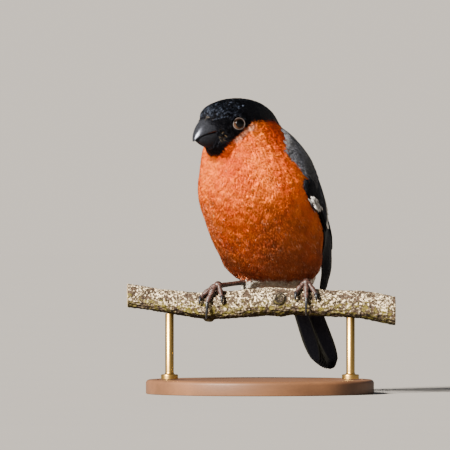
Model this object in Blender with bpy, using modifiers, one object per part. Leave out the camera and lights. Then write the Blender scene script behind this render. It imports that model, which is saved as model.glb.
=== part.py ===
"""A male Eurasian bullfinch, perched with its head turned, as a still, life-size display model.

World frame, in metres: +Z up, the underside of the stand's base at z = 0 and centred on the origin,
+X along the perch. The bird faces -Y, turned towards -X, and its head is turned further that way.

Bird frame: +X is the bird's left, -Y is forward and +Z is up, from the point on top of the perch
that lies between the feet. Places in it are written (left, forward, up).
"""

import math
from functools import cache

import bmesh
import bpy
import numpy as np
from mathutils import Matrix, Vector

MM = 0.001
GAP = 0.3 * MM

# Pose
BODY_YAW = math.radians(26)
HEAD_YAW = math.radians(50)
GRIP_Y = -6 * MM

# Stand and perch
BASE_RADIUS = 48 * MM
BASE_THICKNESS = 6 * MM
BASE_EDGE = 1.5 * MM
TAIL_CLEARANCE = 3 * MM
TAIL_DROP = 35.1 * MM
PERCH_TOP = BASE_THICKNESS + TAIL_CLEARANCE + TAIL_DROP
PERCH_HALF_LENGTH = 55 * MM
PERCH_RADIUS = 6.2 * MM
ROD_RADIUS = 1.8 * MM
ROD_FOOT_RADIUS = 3.6 * MM
ROD_FOOT_HEIGHT = 2 * MM
ROD_PLACES = {"stand_rod_left": -38 * MM, "stand_rod_right": 38 * MM}

# Perch centreline above or below its height at the middle, and its radius as a share, by place along X
PERCH_COURSE = (
    (-55, 3.4, 0.83),
    (-43, 1.6, 0.82),
    (-34, 0.2, 0.85),
    (-25, -0.8, 0.91),
    (-20, -0.7, 1.02),
    (-13, -0.4, 0.98),
    (-4, 0.3, 0.98),
    (5, 0.9, 0.98),
    (17, 0.9, 0.95),
    (29, 0.1, 0.93),
    (40, 0.0, 0.98),
    (49, -1.3, 1.02),
    (55, -3.2, 1.02),
)
PERCH_KNOT = {"x": 7.9 * MM, "turn": math.radians(76), "radius": 2.4 * MM}
PERCH_SPUR = {"x": -21.5 * MM, "turn": math.radians(200), "radius": 2.2 * MM}

# Soft masses of the body: centre (left, forward, up), half sizes (across, along, through), pitch in
# degrees of the long axis above level, in millimetres
TORSO_MASSES = {
    "breast": ((0, 2.7, 39.9), (25.7, 26.3, 21.4), 51),
    "flank": ((0, -6.3, 26.4), (25.1, 24.5, 20), 44.5),
    "belly": ((0, -11.4, 12.1), (23.2, 14.2, 9), 50),
    "vent": ((0, -24.5, 7.1), (14.5, 12.6, 9.1), 30),
    "rump": ((0, -25.1, 21.1), (12.3, 19.4, 10.6), 63.5),
    "neck": ((-2.3, 6.3, 56.3), (20.4, 13, 16.3), 70),
    "mantle": ((0, -10.1, 48.2), (16.4, 23, 12.9), 45),
}
# Masses of the head about its own centre, (left, forward, up) in the head's frame
HEAD_CENTRE = np.array((-4.2, 15.0, 65.4))
HEAD_MASSES = {
    "skull": ((0, -3.4, 3.3), (11, 17.5, 10.9), 0),
    "cheeks": ((0, -4.4, -6), (14.9, 11.2, 9), 0),
    "brow": ((0, 4.2, 6.7), (10, 12.8, 6.3), 0),
    "muzzle": ((0, 7, -3.2), (7.4, 8.6, 6.8), 0),
}
BLEND = 1.9
TORSO_HEART = (0, -2, 35)
NECK_CUT = {"point": (0, 5, 49.5), "tilt": math.radians(14), "turn": 0}
HEAD_CUT = {"point": (-4.2, 12.2, 60.5), "tilt": math.radians(25), "turn": HEAD_YAW - BODY_YAW}

# Head details, in the head's frame
EYE_CENTRE = (8.35, 6.4, 4.1)
EYE_RADIUS = 2.85
EYE_GAP = 0.2
LID_RING_RADIUS = 2.7
LID_RADIUS = 0.45
LID_REACH = 1.75
EYE_TURN = math.radians(66)

# The bill's sections, in the head's frame: forward, half width, height of the mouth's line, and
# height of the ridge or of the keel
UPPER_BILL = (
    (10.0, 5.3, 0.6, 7.2),
    (13.5, 5.3, 0.4, 7.3),
    (16.0, 5.0, 0.1, 6.7),
    (18.0, 4.4, -0.4, 5.4),
    (19.8, 3.5, -1.1, 3.6),
    (21.2, 2.5, -1.8, 1.6),
    (22.2, 1.4, -2.5, -0.4),
    (22.8, 0.4, -3.3, -2.2),
)
LOWER_BILL = (
    (9.5, 5.2, 0.2, -7.0),
    (12.5, 5.1, 0.1, -6.9),
    (15.0, 4.8, -0.1, -6.5),
    (17.2, 4.2, -0.5, -5.9),
    (19.3, 3.3, -1.2, -4.9),
    (20.9, 2.1, -2.0, -3.9),
    (21.7, 0.7, -2.6, -3.3),
)
NOSTRIL = {"place": (2.7, 16.6, 5.6), "radius": 0.75}

# Wings: the line from wrist to tip as (forward, up), and how far out of it a folded wing lies where
# it stands clear of the body, at the side and at the back, evenly from wrist to tip
WRIST = np.array((7.0, 57.0))
WING_TIP = np.array((-47.0, -4.5))
WING_SIDE = (18.3, 21.3, 20.6, 19.0, 15.1, 7.4)
WING_BACK = (18.0, 20.5, 18.5, 13.5, 8.5, 5.0)
WING_LIFT = 0.5
# How much deeper the wing lies at its shoulder, where body feathers cover it
WING_SINK = 1.9
# How far round each wing's lower edge reaches: the right one lies a little higher up the flank
WING_SPREAD = {1: 1.0, -1: 0.9}
VANE = 0.55

# Tail: its line in the middle plane as (forward, up), root and tip
TAIL_ROOT = np.array((-29.5, 12.5))
TAIL_TIP = np.array((-68.0, -34.9))
TAIL_FEATHERS = 6
TAIL_VANE_HALF_WIDTH = 3.8

# Legs: where each foot stands along the perch, how high, and where its heel joint is in the bird frame
TARSUS_RADIUS = 1.1
TOE_RADIUS = 1.05
CLAW_RADIUS = 0.7
FEET = {
    "right": {"x": -17.6, "turn": 14, "heel": (-9.8, -8.8, 1.8), "drift": (1.5, -4.6, -7.4)},
    "left": {"x": 19.4, "turn": 12, "heel": (9.8, -17.2, 1.8), "drift": (-4.4, -0.1, 4.0)},
}
# Each toe's bend round the perch and its claw's, in degrees, and its thickness as a share
TOES = {
    "inner": (46, 32, 0.95),
    "middle": (66, 66, 1.05),
    "outer": (46, 32, 0.95),
    "hind": (-100, -55, 1.05),
}

BIRD = Matrix.Translation((0, GRIP_Y, PERCH_TOP)) @ Matrix.Rotation(-BODY_YAW, 4, "Z")
HEAD_TURN = HEAD_YAW - BODY_YAW

COLOURS = {
    "black_cap": ((0.012, 0.013, 0.020), 0.45),
    "red_breast": ((0.62, 0.12, 0.035), 0.75),
    "black_vane": ((0.010, 0.010, 0.014), 0.4),
    "white_down": ((0.75, 0.74, 0.70), 0.8),
    "dark_horn": ((0.030, 0.030, 0.034), 0.3),
    "eye": ((0.015, 0.008, 0.005), 0.05),
    "leg_scale": ((0.105, 0.055, 0.045), 0.55),
    "bark": ((0.33, 0.28, 0.20), 0.9),
    "oiled_wood": ((0.30, 0.17, 0.09), 0.5),
    "brass": ((0.62, 0.46, 0.22), 0.3),
}
METALS = ("brass",)


def material(name):
    """The named Principled material, made once."""
    found = bpy.data.materials.get(name)
    if found:
        return found
    made = bpy.data.materials.new(name)
    made.use_nodes = True
    shader = made.node_tree.nodes["Principled BSDF"]
    colour, roughness = COLOURS[name]
    shader.inputs["Base Color"].default_value = (*colour, 1)
    shader.inputs["Roughness"].default_value = roughness
    shader.inputs["Metallic"].default_value = 1.0 if name in METALS else 0.0
    return made


def collection(name, shown=True):
    made = bpy.data.collections.new(name)
    bpy.context.scene.collection.children.link(made)
    made.hide_render = not shown
    return made


def object_of(bm, name, finish, where):
    """A new object in a collection from a bmesh, with its faces turned outwards."""
    bmesh.ops.recalc_face_normals(bm, faces=bm.faces)
    if bm.calc_volume(signed=True) < 0:
        bmesh.ops.reverse_faces(bm, faces=bm.faces)
    mesh = bpy.data.meshes.new(name)
    bm.to_mesh(mesh)
    bm.free()
    mesh.materials.append(material(finish))
    made = bpy.data.objects.new(name, mesh)
    where.objects.link(made)
    made.hide_render = where.hide_render
    return made


def applied(obj):
    """The object with its modifiers applied to its mesh."""
    bpy.context.view_layer.update()
    graph = bpy.context.evaluated_depsgraph_get()
    finish = obj.data.materials[0]
    mesh = bpy.data.meshes.new_from_object(obj.evaluated_get(graph))
    obj.modifiers.clear()
    obj.data = mesh
    obj.data.materials.clear()
    obj.data.materials.append(finish)
    return obj


def boolean(obj, operation, other=None, group=None, solver="EXACT"):
    """Cuts or joins obj with another object or with a whole collection, and applies it."""
    modifier = obj.modifiers.new(operation.title(), "BOOLEAN")
    modifier.operation = operation
    modifier.solver = solver
    if group:
        modifier.operand_type = "COLLECTION"
        modifier.collection = group
    else:
        modifier.object = other
    return applied(obj)


def remove(objects):
    for obj in list(objects):
        bpy.data.objects.remove(obj)


def fused(core, pieces):
    """Core with every object of the collection pieces joined to it, and the collection emptied."""
    boolean(core, "UNION", group=pieces, solver="MANIFOLD")
    remove(pieces.objects)
    bpy.data.collections.remove(pieces)
    return keep_largest(core)


def keep_largest(obj):
    """Leaves only the largest closed surface of a mesh, found by walking from face to face."""
    bm = bmesh.new()
    bm.from_mesh(obj.data)
    left = set(bm.faces)
    largest = []
    while left:
        found = []
        front = [left.pop()]
        while front:
            face = front.pop()
            found.append(face)
            fresh = {f for e in face.edges for f in e.link_faces if f in left}
            left.difference_update(fresh)
            front.extend(fresh)
        if len(found) > len(largest):
            largest = found
    kept = set(largest)
    bmesh.ops.delete(bm, geom=[f for f in bm.faces if f not in kept], context="FACES")
    bm.to_mesh(obj.data)
    bm.free()
    return obj


def smooth(values, share):
    """A smooth curve through evenly spaced values, read at a share from 0 to 1."""
    knots = np.asarray(values, float)
    place = min(max(share, 0.0), 1.0) * (len(knots) - 1)
    i = min(int(place), len(knots) - 2)
    t = place - i
    before = knots[max(i - 1, 0)]
    after = knots[min(i + 2, len(knots) - 1)]
    a, b = knots[i], knots[i + 1]
    return 0.5 * (
        2 * a
        + (b - before) * t
        + (2 * before - 5 * a + 4 * b - after) * t**2
        + (3 * a - before - 3 * b + after) * t**3
    )


def in_bird(left, forward, up):
    """A place in the bird frame, given in millimetres, as a world point in metres."""
    return BIRD @ (Vector((left, -forward, up)) * MM)


def head_to_bird(points):
    """Places in the head's frame, (left, forward, up), in the bird's frame. Millimetres."""
    points = np.asarray(points, float)
    c, s = math.cos(HEAD_TURN), math.sin(HEAD_TURN)
    left, forward, up = points[..., 0], points[..., 1], points[..., 2]
    turned = np.stack((left * c - forward * s, left * s + forward * c, up), -1)
    return turned + HEAD_CENTRE


def bird_to_head(points):
    """The other way round from head_to_bird."""
    moved = np.asarray(points, float) - HEAD_CENTRE
    c, s = math.cos(HEAD_TURN), math.sin(HEAD_TURN)
    left, forward, up = moved[..., 0], moved[..., 1], moved[..., 2]
    return np.stack((left * c + forward * s, forward * c - left * s, up), -1)


def mass_distance(points, centre, sizes, pitch):
    """How far points lie outside one ellipsoid, in millimetres, near enough for blending."""
    p = points - np.asarray(centre, float)
    c, s = math.cos(math.radians(pitch)), math.sin(math.radians(pitch))
    along = p[..., 1] * c + p[..., 2] * s
    through = p[..., 2] * c - p[..., 1] * s
    local = np.stack((p[..., 0], along, through), -1)
    sizes = np.asarray(sizes, float)
    near = np.linalg.norm(local / sizes, axis=-1) + 1e-9
    slope = np.linalg.norm(local / sizes**2, axis=-1) + 1e-9
    return near * (near - 1) / slope


def outside_body(points):
    """How far points of the bird frame lie outside the blended body and head, in millimetres."""
    turned = bird_to_head(points)
    distances = [mass_distance(points, *m) for m in TORSO_MASSES.values()]
    distances += [mass_distance(turned, *m) for m in HEAD_MASSES.values()]
    nearness = np.exp(-np.stack(distances) / BLEND)
    return -BLEND * np.log(nearness.sum(0) + 1e-30)


def body_form(name, heart, finish, where, segments, rings, outset=0.0):
    """A closed form: a sphere whose every vertex is moved along its ray to the body's surface."""
    bm = bmesh.new()
    bmesh.ops.create_uvsphere(bm, u_segments=segments, v_segments=rings, radius=1)
    rays = np.array([v.co for v in bm.verts]) * (1, -1, 1)
    inner, outer = np.zeros(len(rays)), np.full(len(rays), 70.0)
    for _ in range(26):
        middle = (inner + outer) / 2
        inside = outside_body(np.asarray(heart) + rays * middle[:, None]) < outset
        inner = np.where(inside, middle, inner)
        outer = np.where(inside, outer, middle)
    for vertex, ray, reach in zip(bm.verts, rays, inner):
        vertex.co = in_bird(*(np.asarray(heart) + ray * reach))
    return object_of(bm, name, finish, where)


def cut_plane(cut):
    """A cut's point and its normal in the world. The normal points up, leaning forward by the tilt
    as seen by a bird turned by the cut's turn."""
    tilt = cut["tilt"]
    lean = Vector((0, -math.sin(tilt), math.cos(tilt)))
    normal = BIRD.to_3x3() @ Matrix.Rotation(-cut["turn"], 3, "Z") @ lean
    return in_bird(*cut["point"]), normal


def sliced(obj, point, normal, keep_above):
    """Obj cut by a plane, with half the gap between pieces taken off it, and the cut face closed."""
    side = 1 if keep_above else -1
    bm = bmesh.new()
    bm.from_mesh(obj.data)
    bmesh.ops.bisect_plane(
        bm,
        geom=[*bm.verts, *bm.edges, *bm.faces],
        plane_co=point + normal * side * GAP / 2,
        plane_no=normal,
        clear_inner=keep_above,
        clear_outer=not keep_above,
    )
    rim = [e for e in bm.edges if e.is_boundary]
    bmesh.ops.holes_fill(bm, edges=rim, sides=0)
    bm.to_mesh(obj.data)
    bm.free()
    return obj


def ball(name, centre, radius, finish, where, segments=16, rings=10):
    bm = bmesh.new()
    bmesh.ops.create_uvsphere(
        bm,
        u_segments=segments,
        v_segments=rings,
        radius=radius,
        matrix=Matrix.Translation(centre),
    )
    return object_of(bm, name, finish, where)


def limb(name, points, radii, finish, where, resolution=1):
    """A tapering round limb: a curve through world points with a bevel, made a welded mesh."""
    curve = bpy.data.curves.new(name, "CURVE")
    curve.dimensions = "3D"
    curve.bevel_depth = 1.0
    curve.bevel_resolution = resolution
    curve.use_fill_caps = True
    spline = curve.splines.new("POLY")
    spline.points.add(len(points) - 1)
    for place, point, radius in zip(spline.points, points, radii):
        place.co = (*point, 1)
        place.radius = radius
    guide = bpy.data.objects.new(name + "_guide", curve)
    where.objects.link(guide)
    bpy.context.view_layer.update()
    graph = bpy.context.evaluated_depsgraph_get()
    mesh = bpy.data.meshes.new_from_object(guide.evaluated_get(graph))
    bm = bmesh.new()
    bm.from_mesh(mesh)
    bmesh.ops.remove_doubles(bm, verts=bm.verts, dist=1e-6)
    bpy.data.objects.remove(guide)
    bpy.data.meshes.remove(mesh)
    return object_of(bm, name, finish, where)


def sheet_vane(name, place, rows, columns, finish, where):
    """A thin closed blade. place(along, across, face) gives each world point: along 0 to 1, across -1
    to 1, and face 0 below or 1 above. Both faces are split into triangles alike."""
    bm = bmesh.new()
    bmesh.ops.create_grid(bm, x_segments=columns, y_segments=rows, size=1)
    bmesh.ops.triangulate(bm, faces=bm.faces)
    lower = list(bm.verts)
    raised = bmesh.ops.extrude_face_region(bm, geom=bm.faces[:])
    upper = [g for g in raised["geom"] if isinstance(g, bmesh.types.BMVert)]
    for face, vertices in ((0, lower), (1, upper)):
        for vertex in vertices:
            across, along = vertex.co.x, (vertex.co.y + 1) / 2
            vertex.co = place(along, across, face)
    return object_of(bm, name, finish, where)


def feather_width(along, blunt=0.3):
    """A feather's half width along it, as a share: narrow quill, even web, rounded tip."""
    web = min(1.0, 0.45 + 2.2 * along)
    tip = max(0.0, (along - 0.72) / 0.28)
    return web * max(blunt, math.sqrt(max(0.0, 1 - tip**2.2)))


def make_perch(where):
    """The cut branch: a swelling tube along its course, with a knot and a spur."""
    steps = np.linspace(-PERCH_HALF_LENGTH / MM, PERCH_HALF_LENGTH / MM, 19)
    points, radii = [], []
    for x in steps:
        points.append(perch_point(x * MM))
        radii.append(perch_radius(x * MM))
    perch = limb("perch", points, radii, "bark", where, resolution=4)
    bumps = collection("perch_bumps", shown=False)
    for label, bump in (("knot", PERCH_KNOT), ("spur", PERCH_SPUR)):
        centre = on_perch(bump["x"], bump["turn"], -0.5 * bump["radius"])
        ball(label, centre, bump["radius"], "bark", bumps, 12, 8)
    return fused(perch, bumps)


def perch_read(x, column):
    course = np.array(PERCH_COURSE)
    return float(np.interp(x / MM, course[:, 0], course[:, column]))


def perch_point(x):
    """The perch's centreline at x."""
    return Vector((x, GRIP_Y, PERCH_TOP - PERCH_RADIUS + perch_read(x, 1) * MM))


def perch_radius(x):
    return PERCH_RADIUS * perch_read(x, 2)


def on_perch(x, turn, lift):
    """A point over the bark at x. turn goes from the top over the front, as the toes do."""
    reach = perch_radius(x) + lift
    return perch_point(x) + Vector((0, -math.sin(turn) * reach, math.cos(turn) * reach))


def make_stand(where):
    """The round base and the two rods with their collars, up to the perch's underside."""
    bm = bmesh.new()
    bmesh.ops.create_cone(
        bm,
        cap_ends=True,
        segments=64,
        radius1=BASE_RADIUS,
        radius2=BASE_RADIUS,
        depth=BASE_THICKNESS,
        matrix=Matrix.Translation((0, 0, BASE_THICKNESS / 2)),
    )
    base = object_of(bm, "stand_base", "oiled_wood", where)
    edge = base.modifiers.new("Edge", "BEVEL")
    edge.width = BASE_EDGE
    edge.segments = 2
    edge.limit_method = "ANGLE"
    for name, x in ROD_PLACES.items():
        foot = BASE_THICKNESS + GAP
        rim = (x - ROD_RADIUS, x, x + ROD_RADIUS)
        top = min(perch_point(r).z - perch_radius(r) for r in rim) - GAP
        shoulder = foot + ROD_FOOT_HEIGHT
        profile = (
            (ROD_FOOT_RADIUS, foot),
            (ROD_FOOT_RADIUS, shoulder - 0.5 * MM),
            (ROD_FOOT_RADIUS - 0.5 * MM, shoulder),
            (ROD_RADIUS, shoulder),
            (ROD_RADIUS, top),
        )
        make_turned(name, (x, GRIP_Y), profile, "brass", where)


def make_turned(name, place, profile, finish, where, steps=16):
    """A solid turned about an upright axis from its outer profile of (radius, height)."""
    bm = bmesh.new()
    axis = Vector((*place, 0))
    ends = [(0, profile[0][1]), *profile, (0, profile[-1][1])]
    points = [bm.verts.new(axis + Vector((r, 0, z))) for r, z in ends]
    edges = [bm.edges.new(pair) for pair in zip(points, points[1:])]
    bmesh.ops.spin(
        bm,
        geom=[*points, *edges],
        cent=axis,
        axis=(0, 0, 1),
        angle=2 * math.pi,
        steps=steps,
        use_merge=True,
    )
    bmesh.ops.remove_doubles(bm, verts=bm.verts, dist=1e-6)
    return object_of(bm, name, finish, where)


def make_body(where, cutters):
    """Torso, neck and head, cut from one blended form, with the eyes' sockets and lids."""
    neck_point, neck_normal = cut_plane(NECK_CUT)
    head_point, head_normal = cut_plane(HEAD_CUT)
    torso = body_form("torso", TORSO_HEART, "red_breast", where, 36, 26)
    sliced(torso, neck_point, neck_normal, keep_above=False)
    neck = body_form("neck", TORSO_HEART, "red_breast", where, 36, 26)
    sliced(neck, neck_point, neck_normal, keep_above=True)
    sliced(neck, head_point, head_normal, keep_above=False)
    head = body_form("head", HEAD_CENTRE, "black_cap", where, 32, 22)
    sliced(head, head_point, head_normal, keep_above=True)
    lids = collection("lids", shown=False)
    for side in (1, -1):
        make_lid(side, lids)
    fused(head, lids)
    for side, label in ((1, "left"), (-1, "right")):
        centre = eye_centre(side)
        socket = ball("socket", centre, (EYE_RADIUS + EYE_GAP) * MM, "eye", cutters, 16, 10)
        boolean(head, "DIFFERENCE", other=socket)
        remove([socket])
        ball("eye_" + label, centre, EYE_RADIUS * MM, "eye", where, 16, 10)
    keep_largest(head)


def eye_centre(side):
    left, forward, up = EYE_CENTRE
    return in_bird(*head_to_bird((left * side, forward, up)))


def eye_axis(side):
    """The way an eye looks, as a world direction."""
    out = head_to_bird((side * math.sin(EYE_TURN), math.cos(EYE_TURN), 0.06))
    start = head_to_bird((0, 0, 0))
    return (in_bird(*out) - in_bird(*start)).normalized()


def make_lid(side, where):
    """The ring of bare lid round an eye."""
    axis = eye_axis(side)
    centre = eye_centre(side) + axis * LID_REACH * MM
    turn = axis.to_track_quat("Z", "Y").to_matrix()
    ring = [
        centre + turn @ Vector((math.cos(a), math.sin(a), 0)) * LID_RING_RADIUS * MM
        for a in np.linspace(0, 2 * math.pi, 18, endpoint=False)
    ]
    bm = bmesh.new()
    inner = LID_RADIUS * MM
    for i, point in enumerate(ring):
        outward = (point - centre).normalized()
        for j in range(6):
            a = j * math.pi / 3
            bm.verts.new(point + (outward * math.cos(a) + axis * math.sin(a)) * inner)
    bm.verts.ensure_lookup_table()
    for i in range(18):
        for j in range(6):
            corners = ((i, j), (i, j + 1), (i + 1, j + 1), (i + 1, j))
            bm.faces.new([bm.verts[(a % 18) * 6 + b % 6] for a, b in corners])
    return object_of(bm, "lid", "black_cap", where)


def bill_half(name, rows, where, clearance):
    """Half of the bill: a loft of half-round sections from (forward, width, mouth, outer) rows."""
    bm = bmesh.new()
    sides = 9
    for forward, half_width, mouth, outer in rows:
        for k in range(sides):
            a = math.pi * k / (sides - 1)
            up = mouth + (outer - mouth) * math.sin(a) ** 0.85
            left = half_width * math.cos(a)
            bm.verts.new(in_bird(*head_to_bird((left, forward, up))))
    bm.verts.ensure_lookup_table()
    for i in range(len(rows) - 1):
        for k in range(sides):
            a, b = i * sides + k, i * sides + (k + 1) % sides
            bm.faces.new([bm.verts[n] for n in (a, b, b + sides, a + sides)])
    last = (len(rows) - 1) * sides
    bm.faces.new([bm.verts[k] for k in range(sides)])
    bm.faces.new([bm.verts[last + k] for k in range(sides)])
    half = object_of(bm, name, "dark_horn", where)
    boolean(half, "DIFFERENCE", other=clearance, solver="MANIFOLD")
    return keep_largest(half)


def make_bill(where, clearance, cutters):
    """Upper and lower bill, deep and round, with the mouth's line open between them."""
    upper = bill_half("bill_upper", UPPER_BILL, where, clearance)
    bill_half("bill_lower", LOWER_BILL, where, clearance)
    left, forward, up = NOSTRIL["place"]
    for side in (1, -1):
        place = in_bird(*head_to_bird((left * side, forward, up)))
        dent = ball("dent", place, NOSTRIL["radius"] * MM, "dark_horn", cutters, 10, 6)
        boolean(upper, "DIFFERENCE", other=dent)
        remove([dent])
    keep_largest(upper)


@cache
def body_reach(along, turn):
    """How far the body's surface lies out of a wing's line, in the section square to the line."""
    run = (WING_TIP - WRIST) / np.linalg.norm(WING_TIP - WRIST)
    forward, up = WRIST + (WING_TIP - WRIST) * along
    reach = np.arange(0, 40, 0.1)
    dorsal = reach * math.sin(turn)
    ray = (reach * math.cos(turn), forward + run[1] * dorsal, up - run[0] * dorsal)
    inside = np.flatnonzero(outside_body(np.stack(ray, -1)) < 0)
    return float(reach[inside[-1]]) if len(inside) else 0.0


def wing_bed(along, turn):
    """How far out of its line a folded wing lies, at a place along it and a turn up from the side."""
    side, back = smooth(WING_SIDE, along), smooth(WING_BACK, along)
    clear = 1 / math.hypot(math.cos(turn) / side, math.sin(turn) / back)
    body = body_reach(round(along, 2), round(turn, 2)) + WING_LIFT
    sink = 0.35 + WING_SINK * max(0.0, 1 - along / 0.35)
    return BLEND * math.log(math.exp(clear / BLEND) + math.exp(body / BLEND)) - sink


def wing_point(side, along, turn, lift):
    """A world point on a folded wing: along from wrist to tip, turn in radians from the side up to
    the back, lift in millimetres out from the wing's bed."""
    turn = math.pi / 2 - (math.pi / 2 - turn) * WING_SPREAD[side]
    reach = wing_bed(along, turn) + lift
    forward, up = WRIST + (WING_TIP - WRIST) * along
    run = (WING_TIP - WRIST) / np.linalg.norm(WING_TIP - WRIST)
    dorsal = reach * math.sin(turn)
    return in_bird(
        reach * math.cos(turn) * side,
        forward + run[1] * dorsal,
        up - run[0] * dorsal,
    )


def wing_vane(name, side, root, tip, half_width, lift, roll, where, rows=4, columns=2):
    """One feather laid on the wing. root and tip are (along, turn in degrees), and roll is how far
    its lower edge stands over the next feather out."""
    (start, low), (end, high) = root, tip

    def place(along, across, face):
        share = start + (end - start) * along
        width = half_width * feather_width(along)
        turn = math.radians(low + (high - low) * along)
        turn += across * width / wing_bed(share, turn)
        height = lift - roll * across * (0.4 + 0.6 * along) + VANE * face
        height -= (lift + 0.3) * max(0.0, 1 - along / 0.3) ** 1.5
        return wing_point(side, share, turn, height)

    return sheet_vane(name, place, rows, columns, "black_vane", where)


# Tiers of wing feathers, from the lowest layer up. Each gives its count, the (along, turn) of the
# first and last feather's root and tip, half width, lift and roll
WING_TIERS = {
    "primary": (8, ((0.32, -8), (0.30, 10)), ((0.985, 12), (0.76, 44)), 3.2, 0.25, 0.4),
    "secondary": (6, ((0.24, 12), (0.20, 46)), ((0.72, 26), (0.68, 66)), 3.8, 0.6, 0.45),
    "tertial": (3, ((0.16, 50), (0.14, 66)), ((0.68, 64), (0.56, 73)), 3.7, 1.1, 0.5),
    "primary_covert": (3, ((0.16, -10), (0.16, -2)), ((0.46, -6), (0.38, 2)), 2.6, 0.75, 0.35),
    "greater_covert": (7, ((0.15, -2), (0.12, 60)), ((0.44, 2), (0.36, 70)), 3.5, 1.05, 0.45),
    "median_covert": (6, ((0.06, -8), (0.07, 48)), ((0.26, -4), (0.25, 62)), 3.5, 1.25, 0.45),
}


def make_wing(side, label, where, clearance):
    """A folded wing: a core shaped to the flank, and tiers of overlapping feathers fused to it."""

    def core_place(along, across, face):
        share = 0.02 + 0.6 * along
        ends = math.sin(math.pi * (0.06 + 0.9 * along)) ** 0.5
        turn = math.radians(30 + across * 40 * ends)
        hump = 1 - 0.75 * abs(across) ** 3
        top = 0.5 + 0.6 * hump * (1 - 0.75 * along)
        return wing_point(side, share, turn, top if face else -3.5)

    core = sheet_vane("wing_" + label, core_place, 8, 6, "black_vane", where)
    vanes = collection("vanes", shown=False)
    for tier, (count, roots, tips, half_width, lift, roll) in WING_TIERS.items():
        for k in range(count):
            share = k / (count - 1)
            root = [a + (b - a) * share for a, b in zip(*roots)]
            tip = [a + (b - a) * share for a, b in zip(*tips)]
            small = tier.endswith("covert")
            wing_vane(
                f"{tier}_{k}", side, root, tip, half_width, lift, roll, vanes,
                rows=3 if small else 4, columns=1 if small else 2,
            )
    fused(core, vanes)
    boolean(core, "DIFFERENCE", other=clearance)
    return keep_largest(core)


def tail_point(distance, left, lift):
    """A world point on the tail, in millimetres down its line, to the left and out of its back."""
    run = (TAIL_TIP - TAIL_ROOT) / np.linalg.norm(TAIL_TIP - TAIL_ROOT)
    forward, up = TAIL_ROOT + run * distance + np.array((run[1], -run[0])) * lift
    return in_bird(left, forward, up)


def tail_vane(name, start, end, left, half_width, lift, roll, finish, where, rows=4):
    """One tail feather or covert. left gives its middle at root and tip, and roll lifts its outer
    edge over the next feather."""

    def place(along, across, face):
        middle = left[0] + (left[1] - left[0]) * along
        width = half_width * feather_width(along, blunt=0.35)
        height = lift + roll * across + VANE * (face - 0.5)
        arch = -0.012 * (middle + across * width) ** 2
        return tail_point(start + (end - start) * along, middle + across * width, height + arch)

    return sheet_vane(name, place, rows, 2, finish, where)


def make_tail(where, clearance):
    """The tail: a fleshy root, twelve overlapping feathers and the coverts over and under them."""
    length = np.linalg.norm(TAIL_TIP - TAIL_ROOT)

    def root_place(along, across, face):
        width = 7.2 * (1 - 0.5 * along) * math.sqrt(1 - 0.45 * across**2)
        thick = (3.6 - 2.4 * along) * math.sqrt(max(0.1, 1 - across**2))
        return tail_point(-3 + 20 * along, across * width, (face - 0.5) * 2 * thick)

    tail = sheet_vane("tail", root_place, 3, 4, "black_vane", where)
    vanes = collection("vanes", shown=False)
    for side in (1, -1):
        for k in range(TAIL_FEATHERS):
            out = k / (TAIL_FEATHERS - 1)
            left = (side * (0.5 + 1.6 * out), side * (0.55 + 3.6 * out))
            end = length - 3.4 * out**2
            height = 0.5 - 0.9 * out
            roll = side * 0.35
            tail_vane(
                f"rectrix_{k}", 2, end, left, TAIL_VANE_HALF_WIDTH, height, roll,
                "black_vane", vanes, rows=5,
            )
    for tier, start, end, lift, reach in (
        ("upper_long", -2, 22, 1.3, 2.9),
        ("upper_short", -3, 14, 2.0, 2.5),
        ("under_long", -2, 25, -2.0, 2.9),
        ("under_short", -3, 15, -2.8, 2.5),
    ):
        for k in (-1, 0, 1):
            height = lift - math.copysign(0.25, lift) * abs(k)
            tail_vane(
                f"{tier}_{k}", start, end - 2 * abs(k), (k * 2.0, k * reach), 3.0, height,
                0.3 * math.copysign(k, -lift), "white_down", vanes, rows=3,
            )
    fused(tail, vanes)
    boolean(tail, "DIFFERENCE", other=clearance, solver="MANIFOLD")
    return keep_largest(tail)


def toe_course(x, turn, sweep, drift, steps):
    """Points of a toe bent over the perch, from the ball of the foot to its end."""
    points = []
    for k in range(steps + 1):
        share = k / steps
        place = x + drift * share**0.6
        angle = turn + sweep * share
        hump = 1.3 * math.exp(-((share / 0.3) ** 2))
        lift = (TOE_RADIUS * (1 - 0.25 * share) + hump) * MM + GAP
        points.append(on_perch(place * MM, angle, lift))
    return points


def shin_course(label):
    """Points and radii of the bare leg, from the ball of the foot to the heel."""
    foot = FEET[label]
    foot_point = on_perch(foot["x"] * MM, math.radians(foot["turn"]), TOE_RADIUS * 1.9 * MM + GAP)
    heel = in_bird(*foot["heel"])
    points = [foot_point.lerp(heel, s) for s in (0.0, 0.12, 0.4, 0.75, 1.0)]
    radii = [TARSUS_RADIUS * w * MM for w in (1.15, 1.0, 0.88, 0.95, 1.15)]
    return points, radii


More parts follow.
